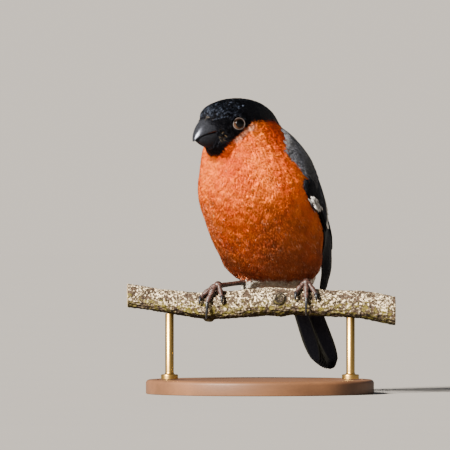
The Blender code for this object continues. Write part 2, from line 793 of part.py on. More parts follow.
def make_leg(side, label, where, clearance):
    """A leg: the bare tarsus, three toes over the front of the perch, one behind, and claws."""
    foot = FEET[label]
    turn = math.radians(foot["turn"])
    shin, radii = shin_course(label)
    leg = limb("leg_" + label, shin, radii, "leg_scale", where, resolution=2)
    pieces = collection("toes", shown=False)
    ball("pad", shin[0], TOE_RADIUS * 1.35 * MM, "leg_scale", pieces, 10, 7)
    drifts = (*foot["drift"], 0.8 * side)
    for (name, (bend, claw_bend, size)), drift in zip(TOES.items(), drifts):
        steps = 5
        sweep = math.radians(bend)
        points = toe_course(foot["x"], turn, sweep, drift, steps)
        toe_radii = []
        for k in range(steps + 1):
            knuckle = 1.0 + 0.1 * math.cos(math.pi * k)
            toe_radii.append(TOE_RADIUS * size * (1 - 0.25 * k / steps) * knuckle * MM)
        limb(name, points, toe_radii, "leg_scale", pieces)
        claw, claw_radii = [], []
        for k in range(6):
            share = k / 5
            angle = turn + sweep + math.radians(claw_bend) * (share - 0.1)
            arch = 0.9 * math.sin(math.pi * share)
            lift = (CLAW_RADIUS * (1 - 0.75 * share) + arch) * MM + GAP
            claw.append(on_perch((foot["x"] + drift * (1 + 0.08 * share)) * MM, angle, lift))
            claw_radii.append(CLAW_RADIUS * (1 - 0.8 * share) * MM)
        limb(name + "_claw", claw, claw_radii, "leg_scale", pieces)
    fused(leg, pieces)
    boolean(leg, "DIFFERENCE", other=clearance)
    return keep_largest(leg)


def make_thigh(side, label, where, clearance):
    """The feathered lower end of the thigh, a tuft between the belly and the bare leg."""
    heel = Vector(FEET[label]["heel"])
    bm = bmesh.new()
    bmesh.ops.create_uvsphere(bm, u_segments=16, v_segments=12, radius=1)
    for vertex in bm.verts:
        out = Vector((vertex.co.x * 4.0, -vertex.co.y * 4.6, vertex.co.z * 3.4))
        vertex.co = in_bird(*(heel + Vector((0, -0.5, 0.3)) + out))
    thigh = object_of(bm, "thigh_" + label, "white_down", where)
    points, radii = shin_course(label)
    room = limb("shin_room", points, [r + GAP for r in radii], "white_down", where, resolution=2)
    boolean(thigh, "DIFFERENCE", other=room)
    remove([room])
    boolean(thigh, "DIFFERENCE", other=clearance)
    return keep_largest(thigh)


def main():
    for obj in list(bpy.data.objects):
        bpy.data.objects.remove(obj)
    parts = collection("bullfinch")
    cutters = collection("cutters", shown=False)
    make_stand(parts)
    make_perch(parts)
    make_body(parts, cutters)
    outset = GAP / MM
    around_head = body_form("around_head", HEAD_CENTRE, "eye", cutters, 36, 26, outset)
    make_bill(parts, around_head, cutters)
    around_torso = body_form("around_torso", TORSO_HEART, "eye", cutters, 36, 26, outset)
    for side, label in ((1, "left"), (-1, "right")):
        make_wing(side, label, parts, around_torso)
        make_thigh(side, label, parts, around_torso)
        make_leg(side, label, parts, around_torso)
    make_tail(parts, around_torso)
    for obj in parts.objects:
        if obj.type == "MESH":
            obj.data.shade_smooth()
            obj.data.set_sharp_from_angle(angle=math.radians(40))


main()
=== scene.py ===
"""Feathers, bill, eyes, feet, branch and stand of a perched male bullfinch.

World frame: metres, +Z up, the underside of the stand's base at z = 0, +X along the branch. The bird
faces -Y, turned towards -X, and its head is turned further that way.

Bird frame: (left, forward, up) in millimetres, from the point on top of the branch between the feet.
Head frame: the same three, from the middle of the head and turned with it.
"""

import math
from functools import cache

import bmesh
import bpy
import numpy as np
from bpy.props import FloatProperty, FloatVectorProperty, IntProperty
from mathutils import Matrix, Vector, noise
from mathutils.bvhtree import BVHTree


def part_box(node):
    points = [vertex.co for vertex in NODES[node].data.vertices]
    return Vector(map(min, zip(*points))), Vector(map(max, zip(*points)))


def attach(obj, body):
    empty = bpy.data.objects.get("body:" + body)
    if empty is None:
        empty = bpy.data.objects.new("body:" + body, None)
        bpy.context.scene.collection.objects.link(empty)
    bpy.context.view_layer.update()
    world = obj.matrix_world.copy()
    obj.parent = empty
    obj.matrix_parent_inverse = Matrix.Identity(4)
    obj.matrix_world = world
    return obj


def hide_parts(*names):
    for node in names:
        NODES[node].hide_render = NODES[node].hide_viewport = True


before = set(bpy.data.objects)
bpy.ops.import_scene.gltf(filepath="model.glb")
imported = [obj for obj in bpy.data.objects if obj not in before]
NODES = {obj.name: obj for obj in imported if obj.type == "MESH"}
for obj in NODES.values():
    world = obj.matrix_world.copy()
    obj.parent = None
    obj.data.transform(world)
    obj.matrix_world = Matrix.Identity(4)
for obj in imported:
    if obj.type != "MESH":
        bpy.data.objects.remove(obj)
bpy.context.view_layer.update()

bl_info = {
    "name": "Perched bullfinch",
    "version": (1, 0, 0),
    "blender": (4, 5, 0),
    "location": "3D View > Sidebar > Bullfinch",
    "description": "Builds the feathers, bill, eyes, feet, branch and stand of a perched bullfinch",
    "category": "Object",
}

MM = 0.001

# Pose: where the bird stands and how far its body and head are turned
BODY_YAW = math.radians(26)
HEAD_TURN = math.radians(24)
GRIP_Y = -6.0
PERCH_TOP = 44.1
HEAD_CENTRE = np.array((-4.2, 15.0, 65.4))
BIRD = Matrix.Translation((0, GRIP_Y * MM, PERCH_TOP * MM)) @ Matrix.Rotation(-BODY_YAW, 4, "Z")
BIRD_TURN = np.array(BIRD)[:3, :3]
BIRD_PLACE = np.array(BIRD)[:3, 3]

# Lower edge of the black cap, on either side of the head: forward, and how high the edge runs there
CAP_EDGE = (
    (-21, -16, -10, -4.8, -0.8, 1.7, 3.5, 6.0, 8.6, 10.3, 11.2, 11.8),
    (2.2, 4.6, 5.8, 5.3, 4.7, 3.7, 2.1, -0.1, -2.4, -4.5, -6.6, -9.6),
)
# Front edge of the grey back: up, and how far forward it reaches there
GREY_EDGE = ((5, 15, 26, 37, 43, 50, 60, 68), (-34, -26, -14, -2.5, 1.5, 3.5, 2.0, 0.0))
# Upper edge of the white vent and rump: forward, and how high it reaches there
WHITE_EDGE = ((-40, -36, -30, -24, -14, 0), (27, 25, 20, 10, 4.6, 4.0))
# The small patch of pale feather bases that shows in front of the left wing
PALE_PATCH = {"place": (25.2, 0.2, 36.6), "reach": 2.6}
# Pale feathers that slip out over the left wing's front edge: their middle, (x, z) seen from the front
FLASH_MIDDLE = np.array((21.5, 81.2))

# Bill, in the head frame: forward, half width, height of the mouth, height of the ridge or keel
UPPER_BILL = (
    (9.0, 5.2, 0.6, 6.9),
    (13.5, 5.2, 0.4, 7.1),
    (16.0, 4.9, 0.1, 6.6),
    (18.0, 4.3, -0.4, 5.35),
    (19.8, 3.4, -1.1, 3.6),
    (21.2, 2.4, -1.9, 1.5),
    (22.2, 1.4, -2.8, -0.5),
    (22.75, 0.7, -3.5, -2.2),
    (22.8, 0.3, -3.9, -3.2),
)
LOWER_BILL = (
    (8.5, 5.05, 0.75, -6.8),
    (12.5, 5.05, 0.6, -6.8),
    (15.0, 4.8, 0.35, -6.4),
    (17.2, 4.2, -0.1, -5.8),
    (19.3, 3.3, -0.85, -4.8),
    (20.9, 2.1, -1.7, -3.8),
    (21.7, 0.7, -2.4, -3.2),
)
BILL_FOOT = np.array((0.0, 12.0, 0.0))
BILL_REACH = (4.9, 6.5)

# Eyes, in the head frame. No body feather is rooted nearer to an eye's middle than the clearing.
EYE_CENTRE = (8.55, 5.8, 3.6)
EYE_RADIUS = 2.85
EYE_TURN = math.radians(66)
PUPIL_ANGLE = math.radians(33)
IRIS_ANGLE = math.radians(52)
EYE_CLEARING = 3.15
LID_RADIUS = 2.55
LID_REACH = 1.7

# Wings: the line from wrist to tip as (forward, up), and how far out of it a folded wing lies where
# it stands clear of the body, at the side and at the back, evenly from wrist to tip
WRIST = np.array((7.0, 57.0))
WING_TIP = np.array((-47.0, -4.5))
WING_SIDE = (18.0, 20.4, 21.0, 20.6, 16.0, 7.4)
WING_BACK = (18.0, 20.5, 18.5, 13.5, 8.5, 5.0)
WING_LIFT = 0.5
WING_SINK = 1.9
WING_BLEND = 1.9
WING_SPREAD = {1: 1.0, -1: 0.9}
# About how far it is from wrist to tip, in millimetres
WING_LENGTH = 80.0

# Tail: its line in the middle plane as (forward, up), root and tip
TAIL_ROOT = np.array((-29.5, 12.5))
TAIL_TIP = np.array((-68.0, -34.9))

# Feet: place along the branch, turn of the ball round it in degrees, heel joint in the bird frame,
# and how far the inner, middle and outer toe drift sideways
FEET = {
    "right": {"x": -17.6, "turn": 14, "heel": (-9.8, -8.8, 3.0), "drift": (1.5, -4.6, -7.4, -0.8)},
    "left": {"x": 19.4, "turn": 12, "heel": (9.8, -17.2, 1.8), "drift": (-4.4, -0.1, 4.0, 0.8)},
}
# Each toe's bend round the branch and its claw's, in degrees, and its thickness as a share
TOES = {
    "inner": (46, 32, 0.95), "middle": (66, 86, 1.05), "outer": (46, 32, 0.95), "hind": (-100, -55, 1.05),
}
TOE_RADIUS = 1.2
CLAW_RADIUS = 0.88
TARSUS_RADIUS = 1.1

# Branch: how much of its unwrap each cut end takes up, the growth rings there, the knot left by a
# side shoot, and a short spur below
CUT_SHARE = 0.03
CUT_RINGS = 4.5
KNOT = {"x": 7.9, "turn": math.radians(76), "radius": 2.4}
SPUR = {"x": -21.5, "turn": math.radians(200), "radius": 2.2}

# Camera: level, looking along +Y, with the photograph's frame this wide and aimed here
PICTURE_WIDTH = 189.0
PICTURE_MIDDLE = (-14.7, 71.0)


def linear(code):
    """Linear RGB of an sRGB hex colour."""
    values = [int(code[k : k + 2], 16) / 255 for k in (1, 3, 5)]
    return tuple(v / 12.92 if v <= 0.04045 else ((v + 0.055) / 1.055) ** 2.4 for v in values)


def colour(code):
    return (*linear(code), 1.0)


def step(values, low, high):
    """0 below low, 1 above high, smooth between."""
    t = np.clip((np.asarray(values, float) - low) / (high - low), 0, 1)
    return t * t * (3 - 2 * t)


def mix(a, b, share):
    """a where share is 0 and b where it is 1."""
    return a + (b - a) * share


def unit(vectors):
    return vectors / (np.linalg.norm(vectors, axis=-1, keepdims=True) + 1e-12)


def ripple(points, length, seed):
    """Smooth noise from about -1 to 1 at points in millimetres, with waves of about that length."""
    draw = np.random.default_rng(seed)
    total = np.zeros(len(points))
    for _ in range(7):
        way = unit(draw.normal(size=3))
        pitch = 2 * math.pi / (length * draw.uniform(0.7, 1.6))
        total += np.sin(points @ way * pitch + draw.uniform(0, 2 * math.pi))
    return total / 3.2


def in_bird(places):
    """Places of the bird frame, in millimetres, as world points in metres."""
    places = np.asarray(places, float)
    local = places * (1, -1, 1) * MM
    return local @ BIRD_TURN.T + BIRD_PLACE


def to_bird(points):
    """World points as places of the bird frame."""
    return (np.asarray(points, float) - BIRD_PLACE) @ BIRD_TURN * (1, -1, 1) / MM


def yawed(ways, angle):
    """Directions turned about the upright axis."""
    x, y, z = np.moveaxis(np.asarray(ways, float), -1, 0)
    c, s = math.cos(angle), math.sin(angle)
    return np.stack((x * c - y * s, x * s + y * c, z), -1)


def in_head(places):
    """Places of the head frame as places of the bird frame."""
    return yawed(places, HEAD_TURN) + HEAD_CENTRE


def to_head(places):
    """Places of the bird frame as places of the head frame."""
    return yawed(np.asarray(places, float) - HEAD_CENTRE, -HEAD_TURN)


def head_world(places):
    return in_bird(in_head(places))


def bird_way(ways):
    """Directions of the bird frame as world directions."""
    return unit((np.asarray(ways, float) * (1, -1, 1)) @ BIRD_TURN.T)


def eye_place(side):
    """The middle of an eye in the head frame. Side is 1 for the left and -1 for the right."""
    return np.array((EYE_CENTRE[0] * side, *EYE_CENTRE[1:]))


# Settings that a user would change


def colour_setting(name, about, code):
    return FloatVectorProperty(name=name, description=about, subtype="COLOR", default=linear(code))


def length_setting(name, about, millimetres):
    return FloatProperty(name=name, description=about, default=millimetres * MM, unit="LENGTH")


class CoatSettings(bpy.types.PropertyGroup):
    """Size and colours of the small body feathers."""

    breast: colour_setting("Breast", "Red of the breast", "#F8791A")
    breast_deep: colour_setting("Cheek", "Deeper red of cheek and flank", "#DC5014")
    cap: colour_setting("Cap", "Black of the cap", "#07070A")
    mantle: colour_setting("Back", "Grey of the back", "#525662")
    vent: colour_setting("Vent", "White of vent and rump", "#D2D1C6")
    skin_grain: length_setting("Skin grain", "Cell size of the skin's mesh", 0.72)
    length: length_setting("Feather length", "Length of a breast feather", 4.3)
    depth: length_setting("Coat depth", "Depth of the coat on the breast", 1.9)
    strands: IntProperty(name="Barbs", description="Barbs of one body feather", default=5, min=3, max=9)


class VaneSettings(bpy.types.PropertyGroup):
    """Flight feathers, tail feathers and their coverts."""

    thickness: length_setting("Thickness", "Thickness of a vane", 0.16)
    black: colour_setting("Vane black", "Black of wing and tail", "#08090C")
    bar: colour_setting("Wing bar", "Pale tips of the greater coverts", "#C6C2B8")


class HornSettings(bpy.types.PropertyGroup):
    """Bill, claws and bare skin."""

    horn: colour_setting("Horn", "Colour of bill and claws", "#141518")
    foot: colour_setting("Foot", "Colour of the feet", "#321D17")
    iris: colour_setting("Iris", "Colour of the iris", "#38261A")


class PerchSettings(bpy.types.PropertyGroup):
    """The cut branch."""

    bark: colour_setting("Bark", "Colour of the bare bark", "#44362A")
    lichen: colour_setting("Lichen", "Colour of the crust of lichen", "#837258")
    algae: colour_setting("Algae", "Yellow-green film", "#6A6222")
    relief: length_setting("Relief", "Height of the bark's relief", 0.34)


class StandSettings(bpy.types.PropertyGroup):
    """The display stand."""

    wood: colour_setting("Wood", "Colour of the oiled wood", "#5E3F29")
    brass: colour_setting("Brass", "Colour of the rods", "#C9A25A")


class StageSettings(bpy.types.PropertyGroup):
    """Camera, light and floor."""

    distance: FloatProperty(name="Distance", description="Camera's distance", default=3.0, unit="LENGTH")
    key: FloatProperty(name="Key light", description="Strength of the wide soft key light", default=25.0)
    fill: FloatProperty(name="Fill light", description="Strength of the light from all round", default=0.28)
    floor: colour_setting("Floor", "Colour of the floor", "#8A8885")


def settings(group):
    return getattr(bpy.context.scene, "bullfinch_" + group)


# Nodes and materials


def add_node(tree, kind, inputs=None, stops=(), **values):
    """Adds a node, sets its properties, gives each named input a value or a socket to read, and gives
    a colour ramp its stops of (place, colour)."""
    node = tree.nodes.new(kind)
    for name, value in values.items():
        setattr(node, name, value)
    for name, value in (inputs or {}).items():
        if isinstance(value, bpy.types.NodeSocket):
            tree.links.new(value, node.inputs[name])
        else:
            node.inputs[name].default_value = value
    if stops:
        elements = node.color_ramp.elements
        elements.remove(elements[-1])
        elements[0].position, elements[0].color = stops[0]
        for place, shade in stops[1:]:
            elements.new(place).color = shade
    return node


def finish(name, values):
    """A new material, its node tree and its shader, with the shader's own sockets set."""
    made = bpy.data.materials.new(name)
    made.use_nodes = True
    shader = made.node_tree.nodes["Principled BSDF"]
    for socket, value in values.items():
        shader.inputs[socket].default_value = value
    return made, made.node_tree, shader


def shaded(shade, share=1.0):
    """A colour of the settings times a share, as a full colour of at most 1."""
    return (*(min(1.0, c * share) for c in shade), 1.0)


def grain(tree, size, detail=3.0, rough=0.55, stretch=(1, 1, 1)):
    """Noise on object coordinates with grains of about size millimetres."""
    place = add_node(tree, "ShaderNodeTexCoord").outputs["Object"]
    if stretch != (1, 1, 1):
        place = add_node(tree, "ShaderNodeMapping", {"Vector": place, "Scale": stretch}).outputs["Vector"]
    return add_node(
        tree, "ShaderNodeTexNoise",
        {"Vector": place, "Scale": 1 / (size * MM), "Detail": detail, "Roughness": rough},
    ).outputs["Fac"]


def scaled(tree, shade, factor, low, high):
    """shade times a factor that goes from low to high as the given one goes from 0 to 1."""
    spread = add_node(
        tree, "ShaderNodeMapRange", {"Value": factor, "To Min": low, "To Max": high}
    ).outputs["Result"]
    return add_node(
        tree, "ShaderNodeVectorMath", {0: shade, "Scale": spread}, operation="SCALE"
    ).outputs["Vector"]


def feather_finish(name, values):
    """Body feathers: loose barbs, so a soft broken gloss, darker at the root. The colour is the
    coat's own marking, kept in the mesh with how far along the barb each point lies."""
    made, tree, shader = finish(name, values)
    marking = add_node(tree, "ShaderNodeAttribute", attribute_name="coat")
    shade = scaled(tree, marking.outputs["Color"], marking.outputs["Alpha"], 0.72, 1.16)
    shade = scaled(tree, shade, grain(tree, 0.9), 0.82, 1.16)
    tree.links.new(shade, shader.inputs["Base Color"])
    return made


def vane_finish(name, values):
    """Flight feathers: barbs hooked into a smooth vane, so a satin sheen that breaks along the barbs.
    The barbs are really 0.05 mm apart and are drawn at 0.3 mm to show at all."""
    made, tree, shader = finish(name, values)
    marking = add_node(tree, "ShaderNodeAttribute", attribute_name="coat")
    web = add_node(tree, "ShaderNodeUVMap", uv_map="vane").outputs["UV"]
    parts = add_node(tree, "ShaderNodeSeparateXYZ", {"Vector": web})
    outward = add_node(tree, "ShaderNodeMath", {0: parts.outputs["X"]}, operation="ABSOLUTE").outputs[0]
    slant = add_node(
        tree, "ShaderNodeMath", {0: outward, 1: -1.6, 2: parts.outputs["Y"]}, operation="MULTIPLY_ADD"
    ).outputs[0]
    wave = add_node(
        tree, "ShaderNodeMath", {0: slant, 1: 2 * math.pi / 0.3}, operation="MULTIPLY"
    ).outputs[0]
    barbs = add_node(tree, "ShaderNodeMath", {0: wave}, operation="SINE").outputs[0]
    shade = scaled(tree, marking.outputs["Color"], barbs, 0.9, 1.1)
    shade = scaled(tree, shade, grain(tree, 1.4), 0.85, 1.15)
    tree.links.new(shade, shader.inputs["Base Color"])
    bump = add_node(tree, "ShaderNodeBump", {"Height": barbs, "Distance": 0.02 * MM, "Strength": 0.5})
    tree.links.new(bump.outputs["Normal"], shader.inputs["Normal"])
    return made


def horn_finish(name, shade, rough, values):
    """Horn grown in thin layers and polished by use: deep grey, with faint streaks along its growth."""
    made, tree, shader = finish(name, values)
    streaks = grain(tree, 0.5, detail=4, stretch=(0.5, 0.5, 1.6))
    tone = add_node(
        tree, "ShaderNodeValToRGB", {"Fac": streaks}, ((0.3, shaded(shade)), (0.75, shaded(shade, 2.1)))
    )
    tree.links.new(tone.outputs["Color"], shader.inputs["Base Color"])
    worn = add_node(
        tree, "ShaderNodeMapRange",
        {"Value": grain(tree, 0.8), "To Min": rough - 0.09, "To Max": rough + 0.09},
    )
    tree.links.new(worn.outputs["Result"], shader.inputs["Roughness"])
    bump = add_node(tree, "ShaderNodeBump", {"Height": streaks, "Distance": 0.03 * MM, "Strength": 0.5})
    tree.links.new(bump.outputs["Normal"], shader.inputs["Normal"])
    return made


# Meshes


def node_mesh(*names, outset=0.0):
    """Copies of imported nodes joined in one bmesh, merged, and moved out along their normals."""
    bm = bmesh.new()
    for name in names:
        bm.from_mesh(NODES[name].data)
    bmesh.ops.remove_doubles(bm, verts=bm.verts, dist=1e-6)
    bm.normal_update()
    for vertex in bm.verts:
        vertex.co += vertex.normal * outset
    return bm


def tree_of(*names):
    bm = node_mesh(*names)
    made = BVHTree.FromBMesh(bm)
    bm.free()
    return made


def mesh_of(bm):
    """The mesh of a bmesh, which is freed."""
    mesh = bpy.data.meshes.new("mesh")
    bm.to_mesh(mesh)
    bm.free()
    return mesh


def placed(name, data):
    """A new object in the scene."""
    made = bpy.data.objects.new(name, data)
    bpy.context.scene.collection.objects.link(made)
    return made


def piece(name, mesh, finishes, replaces=()):
    """A finished piece on the body: an object from a mesh, with its materials."""
    mesh.name = name
    for one in finishes:
        mesh.materials.append(one)
    mesh.shade_smooth()
    made = placed(name, mesh)
    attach(made, "root")
    if replaces:
        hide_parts(*replaces)
    return made


def wrap(bm, around, along, place):
    """A closed tube or ball from a grid: place(turn, share) gives each point, turn going once round.
    Rows of one point close the ends."""
    uv = bm.loops.layers.uv.get("UVMap") or bm.loops.layers.uv.new("UVMap")
    start = set(bm.faces)
    grid = bmesh.ops.create_grid(bm, x_segments=around, y_segments=along, size=1)["verts"]
    shares = np.array([((v.co.x + 1) / 2, (v.co.y + 1) / 2) for v in grid])
    points = place(shares[:, 0] * 2 * math.pi, shares[:, 1])
    for vertex, share, point in zip(grid, shares, points):
        vertex.co = point
        for loop in vertex.link_loops:
            loop[uv].uv = share
    bmesh.ops.remove_doubles(bm, verts=grid, dist=1e-7)
    bmesh.ops.recalc_face_normals(bm, faces=[f for f in bm.faces if f not in start])


def fill_colours(mesh, values):
    """Stores a colour and a fourth value for each vertex, as the coat's marking."""
    layer = mesh.attributes.new("coat", "FLOAT_COLOR", "POINT")
    layer.data.foreach_set("color", np.ascontiguousarray(values, np.float32).ravel())


# Markings


def marking(points, stray=0.0):
    """The coat's colour at world points, and how black, grey or white it is there. stray moves the
    edges between colours by that many millimetres."""
    coat = settings("coat")
    bird = to_bird(points)
    head = to_head(bird)
    left, forward, up = bird.T
    edge = np.interp(head[:, 1], *CAP_EDGE)
    above = head[:, 2] - edge + stray
    black = step(above, -0.35, 0.35) * step(head[:, 2], -10.6, -9.8)
    nape = 1 - step(np.abs(left + 2), 6, 11)
    back = np.interp(up, *GREY_EDGE) + 7 * nape * step(up, 58, 64) - forward + 1.6 * stray
    grey = step(back, -1.2, 1.2) * (1 - black)
    below = np.interp(forward, *WHITE_EDGE) - up + 1.2 * stray
    white = step(below, -0.8, 0.8) * (1 - black)
    patch = np.linalg.norm((bird - PALE_PATCH["place"]) / (1.5, 1, 1), axis=1)
    pale = (1 - step(patch, PALE_PATCH["reach"] - 1.0, PALE_PATCH["reach"])) * (1 - black)
    tint = ripple(bird, 14, 3) * 0.35 + ripple(bird, 4, 4) * 0.3 + 0.35
    cheek = step(up, 50, 62) * step(-head[:, 1], -2, 10)
    flank = step(24 - up, 0, 16)
    deep = np.clip(tint + 0.5 * cheek + 0.3 * flank, 0, 1)[:, None]
    red = mix(np.array(coat.breast), np.array(coat.breast_deep), deep)
    # Painted shade: low darkens the red and turns it brown towards the lower belly and on the left side
    # below the breast, and strengthens its streaks there.
    low = np.clip(1 - step(up, 2, 34) + 0.55 * step(left, -2, 14) * (1 - step(up, 30, 44)), 0, 1.15)
    streak = ripple(bird * (1, 1, 0.4), 2.4, 8) + 0.6 * ripple(bird * (1, 1, 0.5), 5, 9)
    red = red * ((1 - 0.6 * low) * (1 + (0.05 + 0.3 * low) * streak))[:, None]
    red = mix(red, np.array(linear("#9C5638")), 0.42 * low[:, None])
    rim = np.exp(-(((above + 1.2) / 0.8) ** 2)) * step(head[:, 1], -1, 2) * (1 - step(head[:, 1], 7.5, 9.5))
    red = mix(red, np.array(linear("#F4C6AC")), 0.8 * rim[:, None])
    grey_shade = np.array(coat.mantle) * (0.72 + 0.2 * ripple(bird, 3.5, 5))[:, None]
    white_shade = np.array(coat.vent) * (1 + 0.05 * ripple(bird, 4, 6))[:, None]
    # Painted shade: towards the front, under the belly, the white is dulled to an olive grey.
    white_shade = mix(white_shade, np.array(linear("#8A8268")), 0.6 * step(forward, -12, 0)[:, None])
    shade = mix(red, grey_shade, grey[:, None])
    shade = mix(shade, white_shade, white[:, None])
    shade = mix(shade, np.array(linear("#E6E0DC")), pale[:, None])
    shade = mix(shade, np.array(coat.cap), black[:, None])
    masks = {"black": black, "grey": grey * (1 - white), "white": np.maximum(white, pale)}
    return np.clip(shade, 0, 1), masks


def flecked(shade, bird, masks, draw):
    """Adds to the colours of tufts painted blue-grey glints on the forehead and brow, which stand in for
    highlights on glossy feathers, the pale flecks at the gape, and pale tips on the breast, painted as
    highlights, most of them on the right flank."""
    head, black = to_head(bird), masks["black"]
    brow = step(head[:, 1], 3.5, 8) * step(head[:, 2], 4.0, 7.5) * (1 - step(head[:, 2], 12.5, 14.5))
    # Painted highlights: random black tufts of the forehead and brow are coloured blue-grey, as glints.
    painted_glint = draw.uniform(size=len(head)) < 0.32 * brow * black
    blue = np.array(linear("#5A6478")) * draw.uniform(0.05, 1.3, (len(head), 1)) ** 2
    shade = np.where(painted_glint[:, None], blue, shade)
    side = np.abs(head) * (1, 0, 0) + head * (0, 1, 1)
    near = 1 - step(np.linalg.norm((side - (5.6, 12.0, -1.6)) / (1, 1.3, 1.6), axis=1), 0.8, 2.6)
    fleck = draw.uniform(size=len(head)) < 0.13 * near * black
    pale = mix(np.array(linear("#8F8672")), np.array(linear("#B08A55")), draw.uniform(size=(len(head), 1)))
    shade = np.where(fleck[:, None], pale * draw.uniform(0.3, 1.0, (len(head), 1)), shade)
    left, _, up = bird.T
    flank = step(-left, 7, 16) * step(up, 5, 14) * (1 - step(up, 30, 42))
    red = 1 - np.maximum(black, np.maximum(masks["grey"], masks["white"]))
    low = 1 - step(up, 8, 40)
    # Painted highlights: pale tips on red tufts, most on the right flank and fewer low on the belly.
    pale_tip_highlights = draw.uniform(size=len(bird)) < (0.01 + 0.34 * flank + 0.1 * low) * red
    tip = draw.uniform(0.1, 0.6, (len(bird), 1))
    return np.where(pale_tip_highlights[:, None], mix(shade, np.array(linear("#E8A584")), tip), shade)


def coat_sizes(points):
    """How fine, long and deep the coat is at world points: fineness 0 at the bill, then millimetres."""
    coat = settings("coat")
    bird = to_bird(points)
    head = to_head(bird)
    away = np.linalg.norm(head - (0, 13.0, 0.5), axis=1)
    eye = np.linalg.norm(head * (0, 1, 1) - (0, *EYE_CENTRE[1:]), axis=1)
    near_eye = step(eye, 2.5, 7.0)
    size = step(away, 5.5, 26.0)
    on_cap = step(head[:, 2] - np.interp(head[:, 1], *CAP_EDGE), -1, 3)
    body_length = mix(coat.length / MM, 3.0, on_cap)
    body_depth = mix(coat.depth / MM, 1.1, on_cap)
    loose = step(np.interp(bird[:, 1], *WHITE_EDGE) - bird[:, 2], -2, 4)
    body_length = mix(body_length, 5.4, loose)
    on_head = 1 - step(np.linalg.norm(head, axis=1), 14, 20)
    size = size * mix(1.0, mix(0.45, 1.0, near_eye), on_head)
    for foot in FEET.values():
        joint = 1 - step(np.linalg.norm(bird - foot["heel"], axis=1), 5, 11)
        body_length, body_depth = body_length * (1 - 0.35 * joint), body_depth * (1 - 0.4 * joint)
    return size, mix(1.25, body_length, size), mix(0.5, body_depth, size)


def lie_of(points, normals):
    """Which way the coat lies at world points: away from the bill, then down to the tail."""
    bird = to_bird(points)
    head = to_head(bird)
    head_way = yawed(unit(head - BILL_FOOT + (0, -3.0, -1.0)), HEAD_TURN)
    tail = np.array((0, *TAIL_ROOT))
    body_way = unit(unit(tail - bird) * 0.8 + unit(np.array((0, -0.63, -0.775))))
    share = step(np.linalg.norm(head, axis=1), 13, 24)[:, None]
    way = bird_way(unit(mix(head_way, body_way, share)))
    for side in (1, -1):
        eye = head_world(eye_place(side))
        apart = (points - eye) / MM
        reach = np.linalg.norm(apart, axis=1)
        push = 1.3 * (1 - step(reach, 3.0, 5.5))
        way = unit(way + unit(apart) * push[:, None])
    way = way - normals * np.sum(way * normals, axis=1, keepdims=True)
    side_way = np.cross(normals, way)
    swirl = 0.16 * ripple(bird, 17, 11) + 0.12 * ripple(bird, 6, 12)
    return unit(way + side_way * swirl[:, None])


# Skin and coat


def remeshed(bm, voxel, rounds):
    """The joined outer form of a bmesh as an even mesh, smoothed."""
    mesh = mesh_of(bm)
    rough = placed("form", mesh)
    remesh = rough.modifiers.new("even", "REMESH")
    remesh.mode = "VOXEL"
    remesh.voxel_size = voxel
    calm = rough.modifiers.new("calm", "SMOOTH")
    calm.iterations = rounds
    calm.factor = 0.5
    bpy.context.view_layer.update()
    graph = bpy.context.evaluated_depsgraph_get()
    made = bpy.data.meshes.new_from_object(rough.evaluated_get(graph))
    bpy.data.objects.remove(rough)
    bpy.data.meshes.remove(mesh)
    return made


def read_points(mesh, what="vertices", field="co"):
    data = getattr(mesh, what)
    values = np.zeros(len(data) * 3, np.float32)
    data.foreach_get(field, values)
    return values.reshape(-1, 3).astype(float)


FLESH = ("head", "neck", "torso", "thigh_left", "thigh_right")
# How far the smoothing draws the form in, in millimetres, so it is moved out by that first
DRAWN_IN = 0.22


@cache
def body_form():
    """The bird's outer form as one even mesh, with an unwrap of its own."""
    mesh = remeshed(node_mesh(*FLESH, outset=DRAWN_IN * MM), settings("coat").skin_grain, 8)
    made = placed("outer_form", mesh)
    bpy.context.view_layer.objects.active = made
    made.select_set(True)
    mesh.uv_layers.new(name="OFBake")
    bpy.ops.object.mode_set(mode="EDIT")
    bpy.ops.mesh.select_all(action="SELECT")
    bpy.ops.uv.smart_project(angle_limit=math.radians(66), island_margin=0.004)
    bpy.ops.object.mode_set(mode="OBJECT")
    corners = np.zeros(len(mesh.loops), np.int32)
    mesh.loops.foreach_get("vertex_index", corners)
    uv = np.zeros(len(mesh.loops) * 2, np.float32)
    mesh.uv_layers["OFBake"].data.foreach_get("uv", uv)
    normals = read_points(mesh, "vertex_normals", "vector")
    points = read_points(mesh) - normals * DRAWN_IN * MM
    bm = bmesh.new()
    bm.from_mesh(mesh)
    for vertex, point in zip(bm.verts, points):
        vertex.co = point
    form = {
        "mesh": mesh, "points": points, "normals": normals, "quads": corners.reshape(-1, 4),
        "uv": uv.reshape(-1, 4, 2).astype(float), "tree": BVHTree.FromBMesh(bm),
    }
    bm.free()
    bpy.data.objects.remove(made)
    return form


